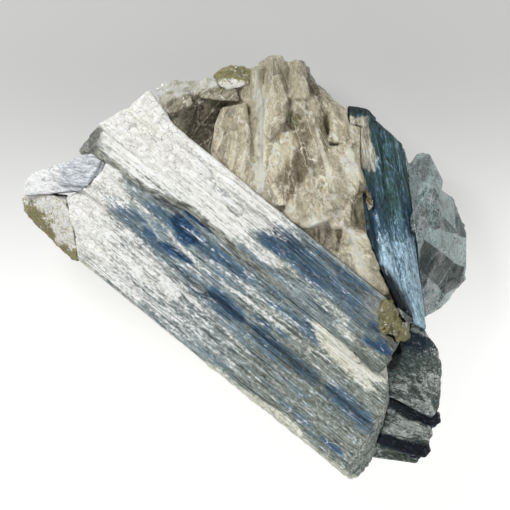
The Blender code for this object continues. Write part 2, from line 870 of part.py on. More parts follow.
def build():
    for obj in list(bpy.data.objects):
        bpy.data.objects.remove(obj)
    blue = material("blue_kyanite", (0.22, 0.32, 0.42), 0.35)
    grey = material("grey_kyanite", (0.3, 0.32, 0.31), 0.45)
    milky = material("milky_quartz", (0.6, 0.54, 0.44), 0.3)
    smoky = material("smoky_quartz", (0.35, 0.3, 0.22), 0.3)
    glassy = material("clear_quartz", (0.42, 0.48, 0.5), 0.1)
    olive = material("olive_mica", (0.28, 0.26, 0.12), 0.45)
    crystals = (
        ("mica_patch", mica_patch, olive),
        ("front_blade", front_blade, blue),
        ("ledge_blade", ledge_blade, blue),
        ("left_end_blade", left_end_blade, blue),
        ("right_blade", right_blade, blue),
        ("dark_splinters", splinters, blue),
        ("under_blade_upper", under_blade_upper, grey),
        ("under_blade_lower", under_blade_lower, grey),
        ("clear_quartz", clear_quartz, glassy),
        ("mica_knob", mica_knob, olive),
        ("olive_mica_rim", olive_mica_rim, olive),
        ("smoky_quartz", smoky_quartz, smoky),
        ("milky_quartz", milky_quartz, milky),
    )
    made, before = [], []
    for name, shape, finish in crystals:
        blocks = shape()
        made.append(crystal(name, blocks, before, finish))
        before += blocks
    centre(made)


build()
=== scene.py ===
"""A kyanite blade cluster: blades of kyanite grown through milky, smoky and clear quartz, with olive mica.

The crystals lie on their flat back and are seen from above. Lengths named in mm are millimetres, and
U, V and W are measured along a blade, across it and up from the table.
"""

import itertools
import math

import bmesh
import bpy
import numpy as np
from mathutils import Matrix, Vector
from mathutils.bvhtree import BVHTree


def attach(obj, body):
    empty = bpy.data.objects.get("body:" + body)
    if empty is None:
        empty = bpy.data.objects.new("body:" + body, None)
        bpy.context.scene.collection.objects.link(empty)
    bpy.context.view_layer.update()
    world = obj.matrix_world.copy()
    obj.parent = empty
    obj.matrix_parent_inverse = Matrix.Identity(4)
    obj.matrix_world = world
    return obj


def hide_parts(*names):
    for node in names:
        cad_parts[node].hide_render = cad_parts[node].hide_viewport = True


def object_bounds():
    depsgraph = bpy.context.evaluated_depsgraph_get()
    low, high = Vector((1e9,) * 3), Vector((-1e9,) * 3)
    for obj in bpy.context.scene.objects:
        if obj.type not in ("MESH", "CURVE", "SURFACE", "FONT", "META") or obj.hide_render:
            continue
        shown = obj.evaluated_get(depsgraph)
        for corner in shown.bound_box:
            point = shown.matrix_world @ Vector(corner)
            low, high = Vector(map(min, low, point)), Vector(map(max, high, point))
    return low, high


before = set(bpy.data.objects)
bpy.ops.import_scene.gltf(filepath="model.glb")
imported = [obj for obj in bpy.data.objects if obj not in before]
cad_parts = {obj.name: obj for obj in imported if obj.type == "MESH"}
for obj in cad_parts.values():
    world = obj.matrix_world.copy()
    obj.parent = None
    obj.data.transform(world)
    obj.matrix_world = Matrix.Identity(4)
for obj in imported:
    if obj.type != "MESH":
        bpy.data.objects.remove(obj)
cad_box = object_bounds()
scene = bpy.context.scene


# ---------------- the studio
# A pale table under the specimen, a soft window-like light from the upper left, weaker ones from the right,
# from behind and from the front, and a camera that looks straight down from one and a half metres.

FLOOR_HALF = 3.0  # m
CAMERA_HEIGHT = 1.53  # m
CAMERA_ABOVE = (0.00218, 0.00296)  # m, the point of the table under the camera
CAMERA_REACH = 20.0  # m
SENSOR = 36.0  # mm
LENS = 470.6  # mm
LIGHTS_AIM = (0, 0, 0.02)  # m
SKY = (0.93, 0.96, 1.0, 1)
SKY_STRENGTH = 0.25

floor_mesh = bpy.data.meshes.new("floor")
floor_corners = [(x * FLOOR_HALF, y * FLOOR_HALF, 0) for x, y in ((-1, -1), (1, -1), (1, 1), (-1, 1))]
floor_mesh.from_pydata(floor_corners, [], [(0, 1, 2, 3)])
floor = bpy.data.objects.new("floor", floor_mesh)
scene.collection.objects.link(floor)

camera_data = bpy.data.cameras.new("camera")
camera_data.sensor_width = SENSOR
camera_data.lens = LENS
camera_data.clip_end = CAMERA_REACH
camera = bpy.data.objects.new("camera", camera_data)
camera.location = (*CAMERA_ABOVE, CAMERA_HEIGHT)
scene.collection.objects.link(camera)
scene.camera = camera


def soft_light(name, place, size, power):
    """A square soft box at place, size metres wide and of that power in watts, aimed at the specimen."""
    lamp = bpy.data.lights.new(name, "AREA")
    lamp.size = size
    lamp.energy = power
    holder = bpy.data.objects.new(name, lamp)
    holder.location = place
    holder.rotation_euler = (Vector(LIGHTS_AIM) - Vector(place)).to_track_quat("-Z", "Y").to_euler()
    scene.collection.objects.link(holder)


soft_light("key", (-0.26, 0.3, 0.4), size=0.2, power=2.3)
soft_light("fill", (0.5, -0.1, 0.55), size=0.5, power=0.8)
soft_light("rim", (0.3, 0.4, 0.2), size=0.15, power=0.4)
soft_light("front", (-0.15, -0.5, 0.4), size=0.4, power=1.0)

world = bpy.data.worlds.new("studio")
world.use_nodes = True
sky = world.node_tree.nodes["Background"]
sky.inputs["Color"].default_value = SKY
sky.inputs["Strength"].default_value = SKY_STRENGTH
scene.world = world
scene.view_settings.view_transform = "Standard"


class Field:
    """A number that varies over a surface. Arithmetic with it adds Math nodes to its finish."""

    def __init__(self, finish, socket):
        self.finish = finish
        self.socket = socket

    def join(self, operation, first, second):
        return self.finish.add("ShaderNodeMath", {"operation": operation}, {0: first, 1: second})

    def __add__(self, other):
        return self.join("ADD", self, other)

    def __sub__(self, other):
        return self.join("SUBTRACT", self, other)

    def __rsub__(self, other):
        return self.join("SUBTRACT", other, self)

    def __mul__(self, other):
        return self.join("MULTIPLY", self, other)

    def __abs__(self):
        return self.join("ABSOLUTE", self, 0)

    __radd__ = __add__
    __rmul__ = __mul__


class Finish:
    """A material and the nodes that colour it."""

    def __init__(self, name):
        self.material = bpy.data.materials.new(name)
        self.material.use_nodes = True
        self.tree = self.material.node_tree
        self.shader = self.tree.nodes["Principled BSDF"]

    def plug(self, node, sockets):
        for name, value in sockets.items():
            if isinstance(value, Field):
                self.tree.links.new(value.socket, node.inputs[name])
            else:
                node.inputs[name].default_value = value

    def add(self, kind, settings, sockets, output=0):
        """A node of that kind. Its settings are set first, then its sockets get their values or links."""
        node = self.tree.nodes.new(kind)
        for name, value in settings.items():
            setattr(node, name, value)
        self.plug(node, sockets)
        return Field(self, node.outputs[output])

    def set(self, **sockets):
        """Sets sockets of the main shader. Roughness=0.4 sets Roughness, Base_Color=... sets Base Color."""
        self.plug(self.shader, {name.replace("_", " "): value for name, value in sockets.items()})

    def kept(self, name, output=2):
        """What the mesh keeps for each point under that name: output 2 reads a number and 1 a vector."""
        settings = {"attribute_type": "GEOMETRY", "attribute_name": name}
        return self.add("ShaderNodeAttribute", settings, {}, output)

    def scaled(self, place, scale):
        return self.add("ShaderNodeVectorMath", {"operation": "MULTIPLY"}, {0: place, 1: scale})

    def noise(self, place, scale, detail, roughness, distortion=0.0):
        """Noise from 0 to 1. scale has one number for each axis of place, in bumps a unit."""
        sockets = {"Vector": self.scaled(place, scale), "Scale": 1.0, "Detail": detail}
        sockets |= {"Roughness": roughness, "Distortion": distortion}
        return self.add("ShaderNodeTexNoise", {}, sockets)

    def ramp(self, value, low, high, start=0.0, end=1.0):
        """start where value is low or less, end where it is high or more, and smooth between."""
        sockets = {"Value": value, "From Min": low, "From Max": high, "To Min": start, "To Max": end}
        return self.add("ShaderNodeMapRange", {"interpolation_type": "SMOOTHSTEP"}, sockets)

    def line(self, value, middle, width):
        """1 where value is at middle, falling to 0 at width from it."""
        return self.ramp(abs(value - middle), 0.0, width, 1.0, 0.0)

    def mix(self, first, second, share):
        """The first colour where share is 0 and the second where it is 1."""
        first, second = [tint if isinstance(tint, Field) else (*tint, 1) for tint in (first, second)]
        return self.add("ShaderNodeMix", {"data_type": "RGBA"}, {0: share, 6: first, 7: second}, 2)

    def clip(self, value, low, high):
        return self.add("ShaderNodeClamp", {}, {"Value": value, "Min": low, "Max": high})

    def seams(self, place, scale, width, bend=0.5):
        """Thin bent lines between random cells, scale of them a unit along each axis: 1 on a line."""
        spots = self.scaled(place, scale)
        sway = self.add("ShaderNodeTexNoise", {}, {"Vector": spots, "Scale": 2.0, "Detail": 3.0}, 1)
        sockets = {0: sway, 1: (bend, bend, bend), 2: spots}
        bent = self.add("ShaderNodeVectorMath", {"operation": "MULTIPLY_ADD"}, sockets)
        sockets = {"Vector": bent, "Scale": 1.0}
        edge = self.add("ShaderNodeTexVoronoi", {"feature": "DISTANCE_TO_EDGE"}, sockets)
        return self.ramp(edge, 0.0, width, 1.0, 0.0)

    def facets(self, place, scale):
        """Flat facets, scale of them a unit along each axis: a random tone for each, and its slope."""
        spots = self.scaled(place, scale)
        colour = self.add("ShaderNodeTexVoronoi", {}, {"Vector": spots, "Scale": 1.0}, 1)
        middle = Field(self, colour.socket.node.outputs["Position"])
        away = self.add("ShaderNodeVectorMath", {"operation": "SUBTRACT"}, {0: spots, 1: middle})
        lean = self.add("ShaderNodeVectorMath", {"operation": "SUBTRACT"}, {0: colour, 1: (0.5, 0.5, 0.5)})
        slope = self.add("ShaderNodeVectorMath", {"operation": "DOT_PRODUCT"}, {0: away, 1: lean}, 1)
        return self.add("ShaderNodeSeparateColor", {}, {0: colour}) - 0.5, slope

    def shaded(self, colour, shade):
        """colour times shade, kept at or below white."""
        grey = self.add("ShaderNodeCombineColor", {}, {0: shade, 1: shade, 2: shade})
        settings = {"data_type": "RGBA", "blend_type": "MULTIPLY", "clamp_result": True}
        return self.add("ShaderNodeMix", settings, {0: 1.0, 6: colour, 7: grey}, 2)

    def bump(self, height, distance, strength):
        return self.add("ShaderNodeBump", {}, {"Height": height, "Distance": distance, "Strength": strength})


# The table top glows by emission, painted light that is brightest on its near side.
table_top = Finish("table_top")
place = table_top.add("ShaderNodeTexCoord", {}, {}, 3)
far_side = table_top.ramp(table_top.add("ShaderNodeSeparateXYZ", {}, {0: place}, 1), -0.03, 0.05)
painted_glow = table_top.mix((0.85, 0.85, 0.83), (0.36, 0.36, 0.35), far_side)
table_top.set(Base_Color=table_top.mix((0.3, 0.3, 0.3), (0.2, 0.2, 0.2), far_side), Roughness=0.8)
table_top.set(Emission_Color=painted_glow, Emission_Strength=1.0)
floor_mesh.materials.append(table_top.material)


# ---------------- front blade
# The broad kyanite blade along the lower left: a bundle of flat fibres, bleached at its left end, blue in
# lenses and bands, and grey-olive towards its broken right end. Part of its white is painted sheen, and
# painted shade lies along its groove and under the ledge's edge. It grew in one piece.

MM = 0.001  # m
HEADING = math.radians(-39)
BLADE_ZERO = np.array((-0.3, 0.269))  # mm, the point that U and V are measured from
SKIN = 0.13  # mm, how far each crystal's skin is let out, so that neighbours meet
LINE_PRIMES = np.array((73856093, 19349663, 83492791), dtype=np.int64)
SEED_PRIME = 7919
LOW_BITS = 0x7FFFFFFFFFFF
KYANITE_IOR = 1.72


def shuffled(cells, seed):
    """A large random whole number for each row of three whole numbers."""
    mixed = cells.astype(np.int64) @ LINE_PRIMES + seed * SEED_PRIME
    for shift, prime in ((13, 1274126177), (17, 668265263)):
        mixed = ((mixed ^ (mixed >> shift)) * prime) & LOW_BITS
    return mixed ^ (mixed >> 15)


def scramble(cells, seed):
    """A random number from 0 to 1 for each row of three whole numbers."""
    return (shuffled(cells, seed) & 0xFFFF) / 0xFFFF


def scatter(cells, seed):
    """Three random numbers from 0 to 1 for each row of three whole numbers."""
    mixed = shuffled(cells, seed)
    return np.stack([(mixed >> shift & 0x7FFF) / 0x7FFF for shift in (0, 15, 30)], axis=1)


def soft_noise(places, scale, octaves, seed):
    """Smooth noise from about -1 to 1. scale is the size of its bumps along each axis, in mm."""
    total = np.zeros(len(places))
    for octave in range(octaves):
        spots = places / np.asarray(scale) * 2**octave
        base = np.floor(spots)
        part = spots - base
        part = part * part * (3 - 2 * part)
        level = np.zeros(len(places))
        for corner in itertools.product((0, 1), repeat=3):
            share = np.prod(np.where(corner, part, 1 - part), axis=1)
            level += share * scramble(base + corner, seed + 31 * octave)
        total += (2 * level - 1) / 2**octave
    return total


def grains(places, scale, seed):
    """Splits space into random grains. Gives each place's grain as whole numbers, the way from the grain's
    middle in units of scale, and how much nearer that middle is than the next one."""
    spots = places / np.asarray(scale)
    base = np.floor(spots)
    nearest = np.full(len(spots), 9.0)
    second = np.full(len(spots), 9.0)
    home = np.zeros_like(spots)
    away = np.zeros_like(spots)
    for step in itertools.product((-1, 0, 1), repeat=3):
        cell = base + step
        offset = spots - cell - scatter(cell, seed)
        gap = np.einsum("ij,ij->i", offset, offset)
        closer = gap < nearest
        second = np.where(closer, nearest, np.minimum(second, gap))
        nearest = np.where(closer, gap, nearest)
        home[closer] = cell[closer]
        away[closer] = offset[closer]
    return home, away, np.sqrt(second) - np.sqrt(nearest)


def smooth_step(values, low, high):
    share = np.clip((values - low) / (high - low), 0, 1)
    return share * share * (3 - 2 * share)


class Skin:
    """The fine mesh of one crystal, remade from its CAD solid, with its points in mm for the carving."""

    def __init__(self, name, node, pitch, grown=()):
        """The mesh has faces pitch mm wide. grown holds the corners and faces of closed shapes that the
        solid's skin grows together with."""
        rough = bmesh.new()
        rough.from_mesh(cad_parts[node].data)
        for corners, faces in grown:
            points = [rough.verts.new(corner * MM) for corner in corners]
            for face in faces:
                rough.faces.new([points[number] for number in face])
        mesh = bpy.data.meshes.new(name)
        rough.to_mesh(mesh)
        rough.free()
        self.piece = bpy.data.objects.new(name, mesh)
        scene.collection.objects.link(self.piece)
        remesh = self.piece.modifiers.new("remesh", "REMESH")
        remesh.mode = "VOXEL"
        remesh.voxel_size = pitch * MM
        graph = bpy.context.evaluated_depsgraph_get()
        made = bpy.data.meshes.new_from_object(self.piece.evaluated_get(graph))
        self.piece.modifiers.clear()
        self.piece.data = made
        made.name = name
        made.materials.clear()
        self.read()
        self.node = node

    def read(self):
        mesh = self.piece.data
        self.places = np.empty(len(mesh.vertices) * 3)
        mesh.vertices.foreach_get("co", self.places)
        self.places = self.places.reshape(-1, 3) / MM
        self.normals = np.empty(len(mesh.vertices) * 3, dtype=np.float32)
        mesh.vertex_normals.foreach_get("vector", self.normals)
        self.normals = self.normals.reshape(-1, 3).astype(float)

    def along(self, heading):
        """U, V and W of each point."""
        x, y = (self.places[:, :2] - BLADE_ZERO).T
        cos, sin = math.cos(heading), math.sin(heading)
        return np.stack((x * cos + y * sin, y * cos - x * sin, self.places[:, 2]), axis=1)

    def raise_by(self, heights):
        """Moves each point out along its normal, inside the box of the CAD model."""
        self.places += self.normals * (heights + SKIN)[:, None]
        low, high = (np.array(corner) / MM for corner in cad_box)
        self.places = np.clip(self.places, low, high)
        self.piece.data.vertices.foreach_set("co", (self.places * MM).ravel())
        self.piece.data.update()
        self.read()

    def hollowness(self, rounds):
        """How far each point lies below the skin smoothed over its neighbours, in mm."""
        ends = np.empty(len(self.piece.data.edges) * 2, dtype=np.int32)
        self.piece.data.edges.foreach_get("vertices", ends)
        ends = ends.reshape(-1, 2)
        here = np.concatenate((ends[:, 0], ends[:, 1]))
        there = np.concatenate((ends[:, 1], ends[:, 0]))
        number = len(self.places)
        neighbours = np.maximum(np.bincount(here, minlength=number), 1)
        smooth = self.places.copy()
        for _ in range(rounds):
            sums = [np.bincount(here, weights=smooth[there, axis], minlength=number) for axis in range(3)]
            smooth = np.stack(sums, axis=1) / neighbours[:, None]
        return ((smooth - self.places) * self.normals).sum(axis=1)

    def keep(self, **layers):
        """Keeps a number or a vector for each point, or one number for all, for the finish to read."""
        for name, values in layers.items():
            if np.ndim(values) == 0:
                values = np.full(len(self.places), values)
            kind, field = ("FLOAT_VECTOR", "vector") if values.ndim == 2 else ("FLOAT", "value")
            layer = self.piece.data.attributes.new(name, kind, "POINT")
            layer.data.foreach_set(field, values.astype(np.float32).ravel())

    def done(self, finish):
        """Gives the piece its finish and puts it in its CAD node's place."""
        self.piece.data.materials.append(finish.material)
        self.piece.data.shade_smooth()
        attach(self.piece, "root")
        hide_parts(self.node)


def lens(spots, start, end, width):
    """A patch round the line from start to end, narrow at both ends: 1 inside it and 0 outside."""
    line = np.subtract(end, start)
    offset = spots - start
    share = np.clip(offset @ line / (line @ line), 0, 1)
    away = np.linalg.norm(offset - share[:, None] * line, axis=1)
    reach = width / 2 * (0.25 + 0.75 * np.sqrt(np.clip(1 - (2 * share - 1) ** 2, 0, 1)))
    return smooth_step(reach - away, -0.25 * width, 0.25 * width)


def strongest(*masks):
    """The highest of the masks at each point."""
    return np.maximum.reduce(masks)


def lenses(spots, *marks):
    """The strongest of several lenses at each point. Each mark is start, end, width and strength."""
    return strongest(*(strength * lens(spots, start, end, width) for start, end, width, strength in marks))


def patches(grain, *marks, seed):
    """Such lenses along a blade, with edges that wander."""
    drift = (3 * soft_noise(grain, (6, 1.5, 9), 2, seed), soft_noise(grain, (9, 1.2, 9), 2, seed + 5))
    return lenses(grain[:, :2] + 0.5 * np.stack(drift, axis=1), *marks)


def strewn(count, seed, us, vs, lengths, widths, strengths):
    """Marks for short lenses strewn along a blade, inside the ranges us and vs."""
    dice = np.random.default_rng(seed)
    marks = []
    for _ in range(count):
        length, width = dice.uniform(*lengths), dice.uniform(*widths)
        u, v = dice.uniform(us[0], us[1] - length), dice.uniform(*vs)
        marks.append(((u, v), (u + length, v + dice.uniform(-0.4, 0.4)), width, dice.uniform(*strengths)))
    return marks


def fibrous(grain, rough, seed):
    """The relief of a bundle of flat fibres, in mm: broad laths, fine ones and threads on them."""
    bent = grain.copy()
    bent[:, 1] += 0.5 * soft_noise(grain, (18, 6, 6), 1, seed)
    broad, _, broad_edge = grains(bent, (17, 2.1, 2.1), seed)
    fine, _, _ = grains(bent, (8, 0.85, 0.85), seed + 3)
    relief = 0.3 * (scramble(broad, seed + 7) - 0.5)
    relief += 0.16 * (scramble(fine, seed + 8) - 0.5)
    relief += 0.07 * soft_noise(bent, (14, 0.45, 0.45), 1, seed + 9)
    relief -= 0.14 * (1 - smooth_step(broad_edge, 0, 0.16)) * (scramble(broad, seed + 12) > 0.5)
    return rough * relief


def kyanite(name, deep, mid, body, olive, pale, cream, contrast=1.0):
    """The finish of a kyanite blade: body and olive, mid and deep where it is blue, pale and cream where it
    is bleached, and pale in places also as painted sheen. It reads grain, blue, pale, olive, cream, dark,
    crackle and hollow from the mesh, and darkens with painted shade in hollows and where dark is set."""
    finish = Finish(name)
    noise, line, ramp, mix = finish.noise, finish.line, finish.ramp, finish.mix
    grain = finish.kept("grain", 1)
    blue, white, green, yellow = map(finish.kept, ("blue", "pale", "olive", "cream"))
    dark, crackle, hollow = map(finish.kept, ("dark", "crackle", "hollow"))
    threads = noise(grain, (0.07, 1.9, 1.9), 5, 0.72) - 0.5
    crumbs = noise(grain, (1.3, 1.5, 1.5), 5, 0.75) - 0.5
    threads = threads + crackle * (crumbs - threads)
    hairs = noise(grain, (0.12, 3.2, 3.2), 3, 0.6) - 0.5
    grit = noise(grain, (1.0, 2.2, 2.2), 5, 0.75) - 0.5
    mottle = noise(grain, (0.3, 0.8, 0.8), 4, 0.65, 0.6) - 0.5
    bands = noise(grain, (0.05, 0.7, 0.7), 4, 0.6) - 0.5
    arcs = line(noise(grain, (0.05, 0.1, 0.1), 1, 0.5, 0.3), 0.5, 0.005)
    net = finish.seams(grain, (0.5, 0.6, 0.6), 0.05)
    splits = line(noise(grain, (0.045, 1.0, 1.0), 3, 0.6, 0.3), 0.5, 0.03) * (1 - crackle)
    glint_strands = line(noise(grain, (0.055, 1.3, 1.3), 3, 0.6, 0.3), 0.44, 0.03) * (1 - crackle)
    drift = 1.5 * threads + 1.9 * mottle + 1.8 * grit
    colour = mix(body, olive, ramp(green + 1.6 * bands + mottle, 0.1, 0.9))
    colour = mix(colour, cream, crackle)
    colour = mix(colour, mid, ramp(0.9 * blue + drift, -0.05, 0.75))
    colour = mix(colour, deep, ramp(0.9 * blue + drift, 0.4, 1.15))
    colour = mix(colour, cream, ramp(yellow + 1.5 * grit + 1.5 * mottle, 0.2, 0.95))
    bleach = white + 1.8 * threads + 2.2 * grit + 1.3 * mottle - 0.15 * blue
    colour = mix(colour, pale, ramp(bleach, 0.1, 0.95))
    # Painted highlights: thin pale lines along the fibres, for light caught on their edges.
    colour = mix(colour, pale, 0.45 * glint_strands * ramp(mottle, -0.05, 0.1))
    colour = mix(colour, pale, 0.35 * arcs * ramp(green + mottle, 0.5, 0.8))
    cracks = 0.9 * net * crackle * ramp(grit + mottle, -0.1, 0.12)
    colour = mix(colour, (0.2, 0.16, 0.11), cracks)
    relief = contrast * (2.3 * threads + 2.2 * hairs + 3.8 * grit + 1.1 * mottle)
    relief = relief * (1 + 0.3 * blue - 0.6 * white - 0.4 * yellow)
    tone = finish.clip(1.0 + relief * (1 - 0.3 * crackle), 0.2, 1.8)
    tone = tone * (1 - splits * ramp(mottle, -0.1, 0.1, 0.65, 0.1))
    # Painted shade: darker in hollows, and where dark is set, which is partly painted shade and partly dark
    # colour.
    tone = tone * ramp(hollow, 0.03, 0.25, 1.0, 0.5) * (1 - 0.93 * dark)
    finish.set(Base_Color=finish.shaded(colour, tone))
    finish.set(Roughness=ramp(hairs, -0.15, 0.15, 0.3, 0.55), IOR=KYANITE_IOR, Specular_IOR_Level=0.2)
    finish.set(Normal=finish.bump(threads + 0.5 * hairs + 0.4 * grit, 0.0005, 0.8))
    return finish


blue_kyanite = kyanite(
    "blue_kyanite",
    deep=(0.014, 0.062, 0.145),
    mid=(0.095, 0.185, 0.265),
    body=(0.325, 0.385, 0.385),
    olive=(0.27, 0.305, 0.26),
    pale=(0.95, 0.94, 0.88),
    cream=(0.82, 0.82, 0.68),
)

front = Skin("front_blade_fibres", "front_blade", pitch=0.345)
grain = front.along(HEADING)
u, v, _ = grain.T
wander = soft_noise(grain, (14, 2.5, 9), 3, 40)
blue = patches(
    grain,
    ((-19.2, -1.8), (-11.2, -2.3), 4.6, 1.5),
    ((-17.6, 1.9), (-10.4, 1.7), 1.7, 1.4),
    ((-18.6, -7.5), (-9.2, -6.8), 2.2, 1.3),
    ((-23.5, -7.2), (-19.2, -7.5), 1.6, 1),
    ((-38, -7), (-24.3, -6.4), 3, 0.7),
    ((-33, -8.6), (-20.3, -8.8), 2.2, 0.45),
    ((-12.5, -2.4), (2, -1.4), 3.4, 0.75),
    ((-4.5, -1.2), (6.5, -0.6), 2.6, 0.45),
    ((-2.6, -8.7), (7.8, -9.4), 3.6, 1.05),
    ((9.8, -9.4), (18, -8.6), 2.2, 0.95),
    ((13.5, -9.4), (29.5, -9.6), 3.6, 0.62),
    ((32, -8.6), (46, -10.6), 4.2, 0.7),
    ((38, -18.7), (43.4, -18.8), 1.5, 0.8),
    ((4, -1), (22, 0.4), 3, 0.35),
    ((10, -13.5), (30, -14.5), 3, 0.2),
    *strewn(40, 12, (-30, 30), (-12, 0.5), (4, 14), (0.6, 1.5), (0.3, 0.75)),
    *strewn(16, 13, (-10, 44), (-20.5, -11), (4, 14), (0.6, 1.6), (0.2, 0.5)),
    seed=0,
)
# pale is partly the bleached white of the kyanite and partly painted sheen, light off the fibres' faces at
# the upper left.
pale = patches(
    grain,
    ((-38, -13.5), (-8, -15), 9, 0.75),
    ((-36, -19), (-13, -20.5), 5, 0.75),
    ((-14, -13.5), (4, -14.5), 6, 0.5),
    ((-16, -19.5), (0, -20.5), 4, 0.45),
    ((-38.5, -5), (-37, -13), 5, 0.9),
    ((-37, -11), (-18, -11.5), 4.5, 0.6),
    ((-17.5, -4.9), (-7.7, -5.6), 0.9, 0.7),
    ((-6, -3.8), (9, -3), 1.5, 0.5),
    ((-9, -6), (15, -5), 1, 0.5),
    ((12, -5), (28.5, -4.4), 0.9, 0.5),
    ((-33, -3.4), (-18, -4.2), 1.4, 0.45),
    ((24.6, -0.4), (40, 0.2), 4.6, 0.4),
    ((-20, -17), (8, -18.5), 2.6, 0.35),
    ((-10, -13.5), (14, -14.5), 1.8, 0.35),
    *strewn(60, 14, (-34, 26), (-19, 1), (2, 9), (0.3, 0.7), (0.25, 0.55)),
    seed=200,
)
# dark is painted shade: along the groove near V -9, and at the foot of the ledge near V 0 to 1.6, where the
# ledge casts its shadow.
dark = patches(
    grain,
    ((-9.5, -9.8), (10, -9.3), 1.8, 0.42),
    ((8, -9.2), (26, -8.6), 1.6, 0.45),
    ((-33, 0.1), (-18, -0.3), 2.6, 0.45),
    ((24, -8.8), (45, -10), 1.2, 0.35),
    ((-14, 1.6), (12, 1.2), 1.6, 0.35),
    seed=400,
)
cream = patches(
    grain,
    ((21.5, 0.2), (40.5, 0.8), 7.2, 1.8),
    ((27, -2.4), (40.5, -3), 3.2, 0.8),
    ((24, -21), (34, -21.4), 1.4, 0.7),
    ((8, -21.2), (12, -21.4), 1.4, 0.6),
    seed=600,
)
olive = np.clip(0.1 + smooth_step(u, -8, 30) + 0.3 * wander, 0, 1)
broken_end = smooth_step(-u - 0.4 * v + 4 * wander, 30, 38)
stations = np.arange(-44, 50, 2)  # along U, where the blade's lower edge is looked up
lowest = [v[abs(u - station) < 1.5].min() for station in stations]
crumbly_edge = smooth_step(np.interp(u, stations, lowest) - v + 1.6 * wander, -1.2, -0.5)
crackle = strongest(0.7 * broken_end, crumbly_edge)
pale = strongest(pale, 0.85 * broken_end) * (1 - 0.8 * crumbly_edge)
end_face = lens(grain[:, :2], (46.6, -19.6), (44.3, -3.6), 2.2)
near_end = strongest(smooth_step(u, 39, 45), crackle)
relief = fibrous(grain, rough=1.0, seed=10) + 0.3 * near_end * soft_noise(grain, (1.8, 1.5, 1.5), 3, 60)
front.raise_by(relief)
front.keep(grain=grain, blue=blue, pale=pale, dark=dark, crackle=crackle, hollow=front.hollowness(3))
front.keep(cream=strongest(cream, 0.35 * end_face), olive=strongest(olive, crumbly_edge))
front.done(blue_kyanite)


# ---------------- ledge blade
# The kyanite blade that stands one step above the front blade. Its left half is bleached white and crackled,
# the white partly a painted sheen, and blue shows again from the middle on. Its wall and heel are painted
# dark and olive as shade. It grew in one piece, with a small heel under its left corner.


def block(plan, low, tops):
    """The corners in mm and the faces of a block, from its plan taken anticlockwise, the height of its
    underside and those of its top corners."""
    count = len(plan)
    corners = [(x, y, low) for x, y in plan] + [(x, y, top) for (x, y), top in zip(plan, tops)]
    sides = [(side, (side + 1) % count, (side + 1) % count + count, side + count) for side in range(count)]
    return np.array(corners), sides + [tuple(reversed(range(count))), tuple(range(count, 2 * count))]


heel_plan = ((-37.2, 26), (-33.6, 26.3), (-31.5, 27), (-31.5, 31.8), (-33.1, 31.8), (-37.4, 26.8))
heel = block(heel_plan, 16, (24, 30, 32, 32, 30, 24))
ledge = Skin("ledge_blade_fibres", "ledge_blade", pitch=0.325, grown=[heel])
grain = ledge.along(HEADING)
u, v, _ = grain.T
wander = soft_noise(grain, (14, 2.5, 9), 3, 140)
left_half = smooth_step(-u + 0.9 * (v - 8) + 3 * wander, -2, 6)
blue = patches(
    grain,
    ((-3.5, 9), (8, 8.8), 4.6, 0.9),
    ((4, 9.4), (20, 8.6), 5.4, 0.7),
    ((-1, 10.6), (12, 11), 2.4, 0.7),
    ((12, 9.6), (33, 8.8), 5, 0.55),
    ((30, 4.6), (37, 6.2), 2.4, 1),
    ((8, 12.8), (28, 13.2), 1.6, 0.6),
    ((-3, 3), (10, 3), 1.8, 0.4),
    *strewn(24, 16, (-6, 34), (3.5, 14), (4, 12), (0.5, 1.4), (0.3, 0.7)),
    seed=900,
)
# The white of the left half is partly bleaching and partly painted sheen.
pale = left_half * np.clip(0.95 + 0.25 * wander, 0, 1)
pale = strongest(pale, patches(grain, ((-4, 5.2), (6, 4.6), 2.4, 0.8), seed=1000))
cream = patches(
    grain,
    ((0, 5.4), (12, 5.6), 2.6, 0.5),
    ((10, 5.2), (26, 4.8), 2.2, 0.45),
    ((22, 3.4), (34, 3.2), 1.6, 0.5),
    seed=1100,
)
olive = np.clip(smooth_step(u, 18, 36) + 0.3 * wander, 0, 1)
faces_down_left = -(ledge.normals @ np.array((-math.sin(HEADING), math.cos(HEADING), 0)))
# The wall is the step's face turned down and left, away from the light: it is painted dark and olive as
# shade.
shaded_wall = smooth_step(faces_down_left, 0.2, 0.6) * smooth_step(-v, -5, -3.5) * smooth_step(-u, -14, 0)
across = grain[:, :2]
# dark is painted shade on the wall and round the heel's corner, and also darkens the right half and two marks
# there.
dark = strongest(
    np.clip(0.22 + 0.3 * wander, 0, 0.45) * smooth_step(u, -3, 12),
    shaded_wall * np.clip(0.3 + soft_noise(grain, (1.2, 0.6, 0.6), 2, 1200), 0, 0.8),
    0.4 * lens(across + wander[:, None], (27, 11.5), (38, 11), 5),
    0.75 * lens(across, (34.4, 14.2), (37, 15.2), 3.4),
    0.7 * lens(across, (-42.8, -1.6), (-45.4, 3.6), 3.4),
)
crackle = strongest(
    smooth_step(-u + 2 * wander, 20, 30) * smooth_step(v, 2, 6),
    0.6 * shaded_wall,
    0.7 * lens(across + wander[:, None], (26, 11.5), (38, 10.5), 6),
)
crumbs = soft_noise(grain, (3, 3, 3), 2, 170) + 0.6 * soft_noise(grain, (1.2, 1.2, 1.2), 2, 180)
ledge.raise_by(fibrous(grain, rough=0.8, seed=110) * (1 - 0.7 * crackle) + 0.3 * crackle * crumbs)
x, _, height = ledge.places.T
# The heel is painted dark and olive as shade, like the wall.
heel_shade = smooth_step(-x, 31.5, 32.5) * smooth_step(-height, -32.5, -31)
shaded_wall = strongest(shaded_wall, heel_shade)
dark = strongest(dark, 0.45 * heel_shade)
ledge.keep(grain=grain, blue=blue, pale=pale * (1 - 0.75 * shaded_wall), dark=dark)
ledge.keep(cream=cream, olive=strongest(olive, shaded_wall), crackle=crackle, hollow=ledge.hollowness(3))
ledge.done(blue_kyanite)


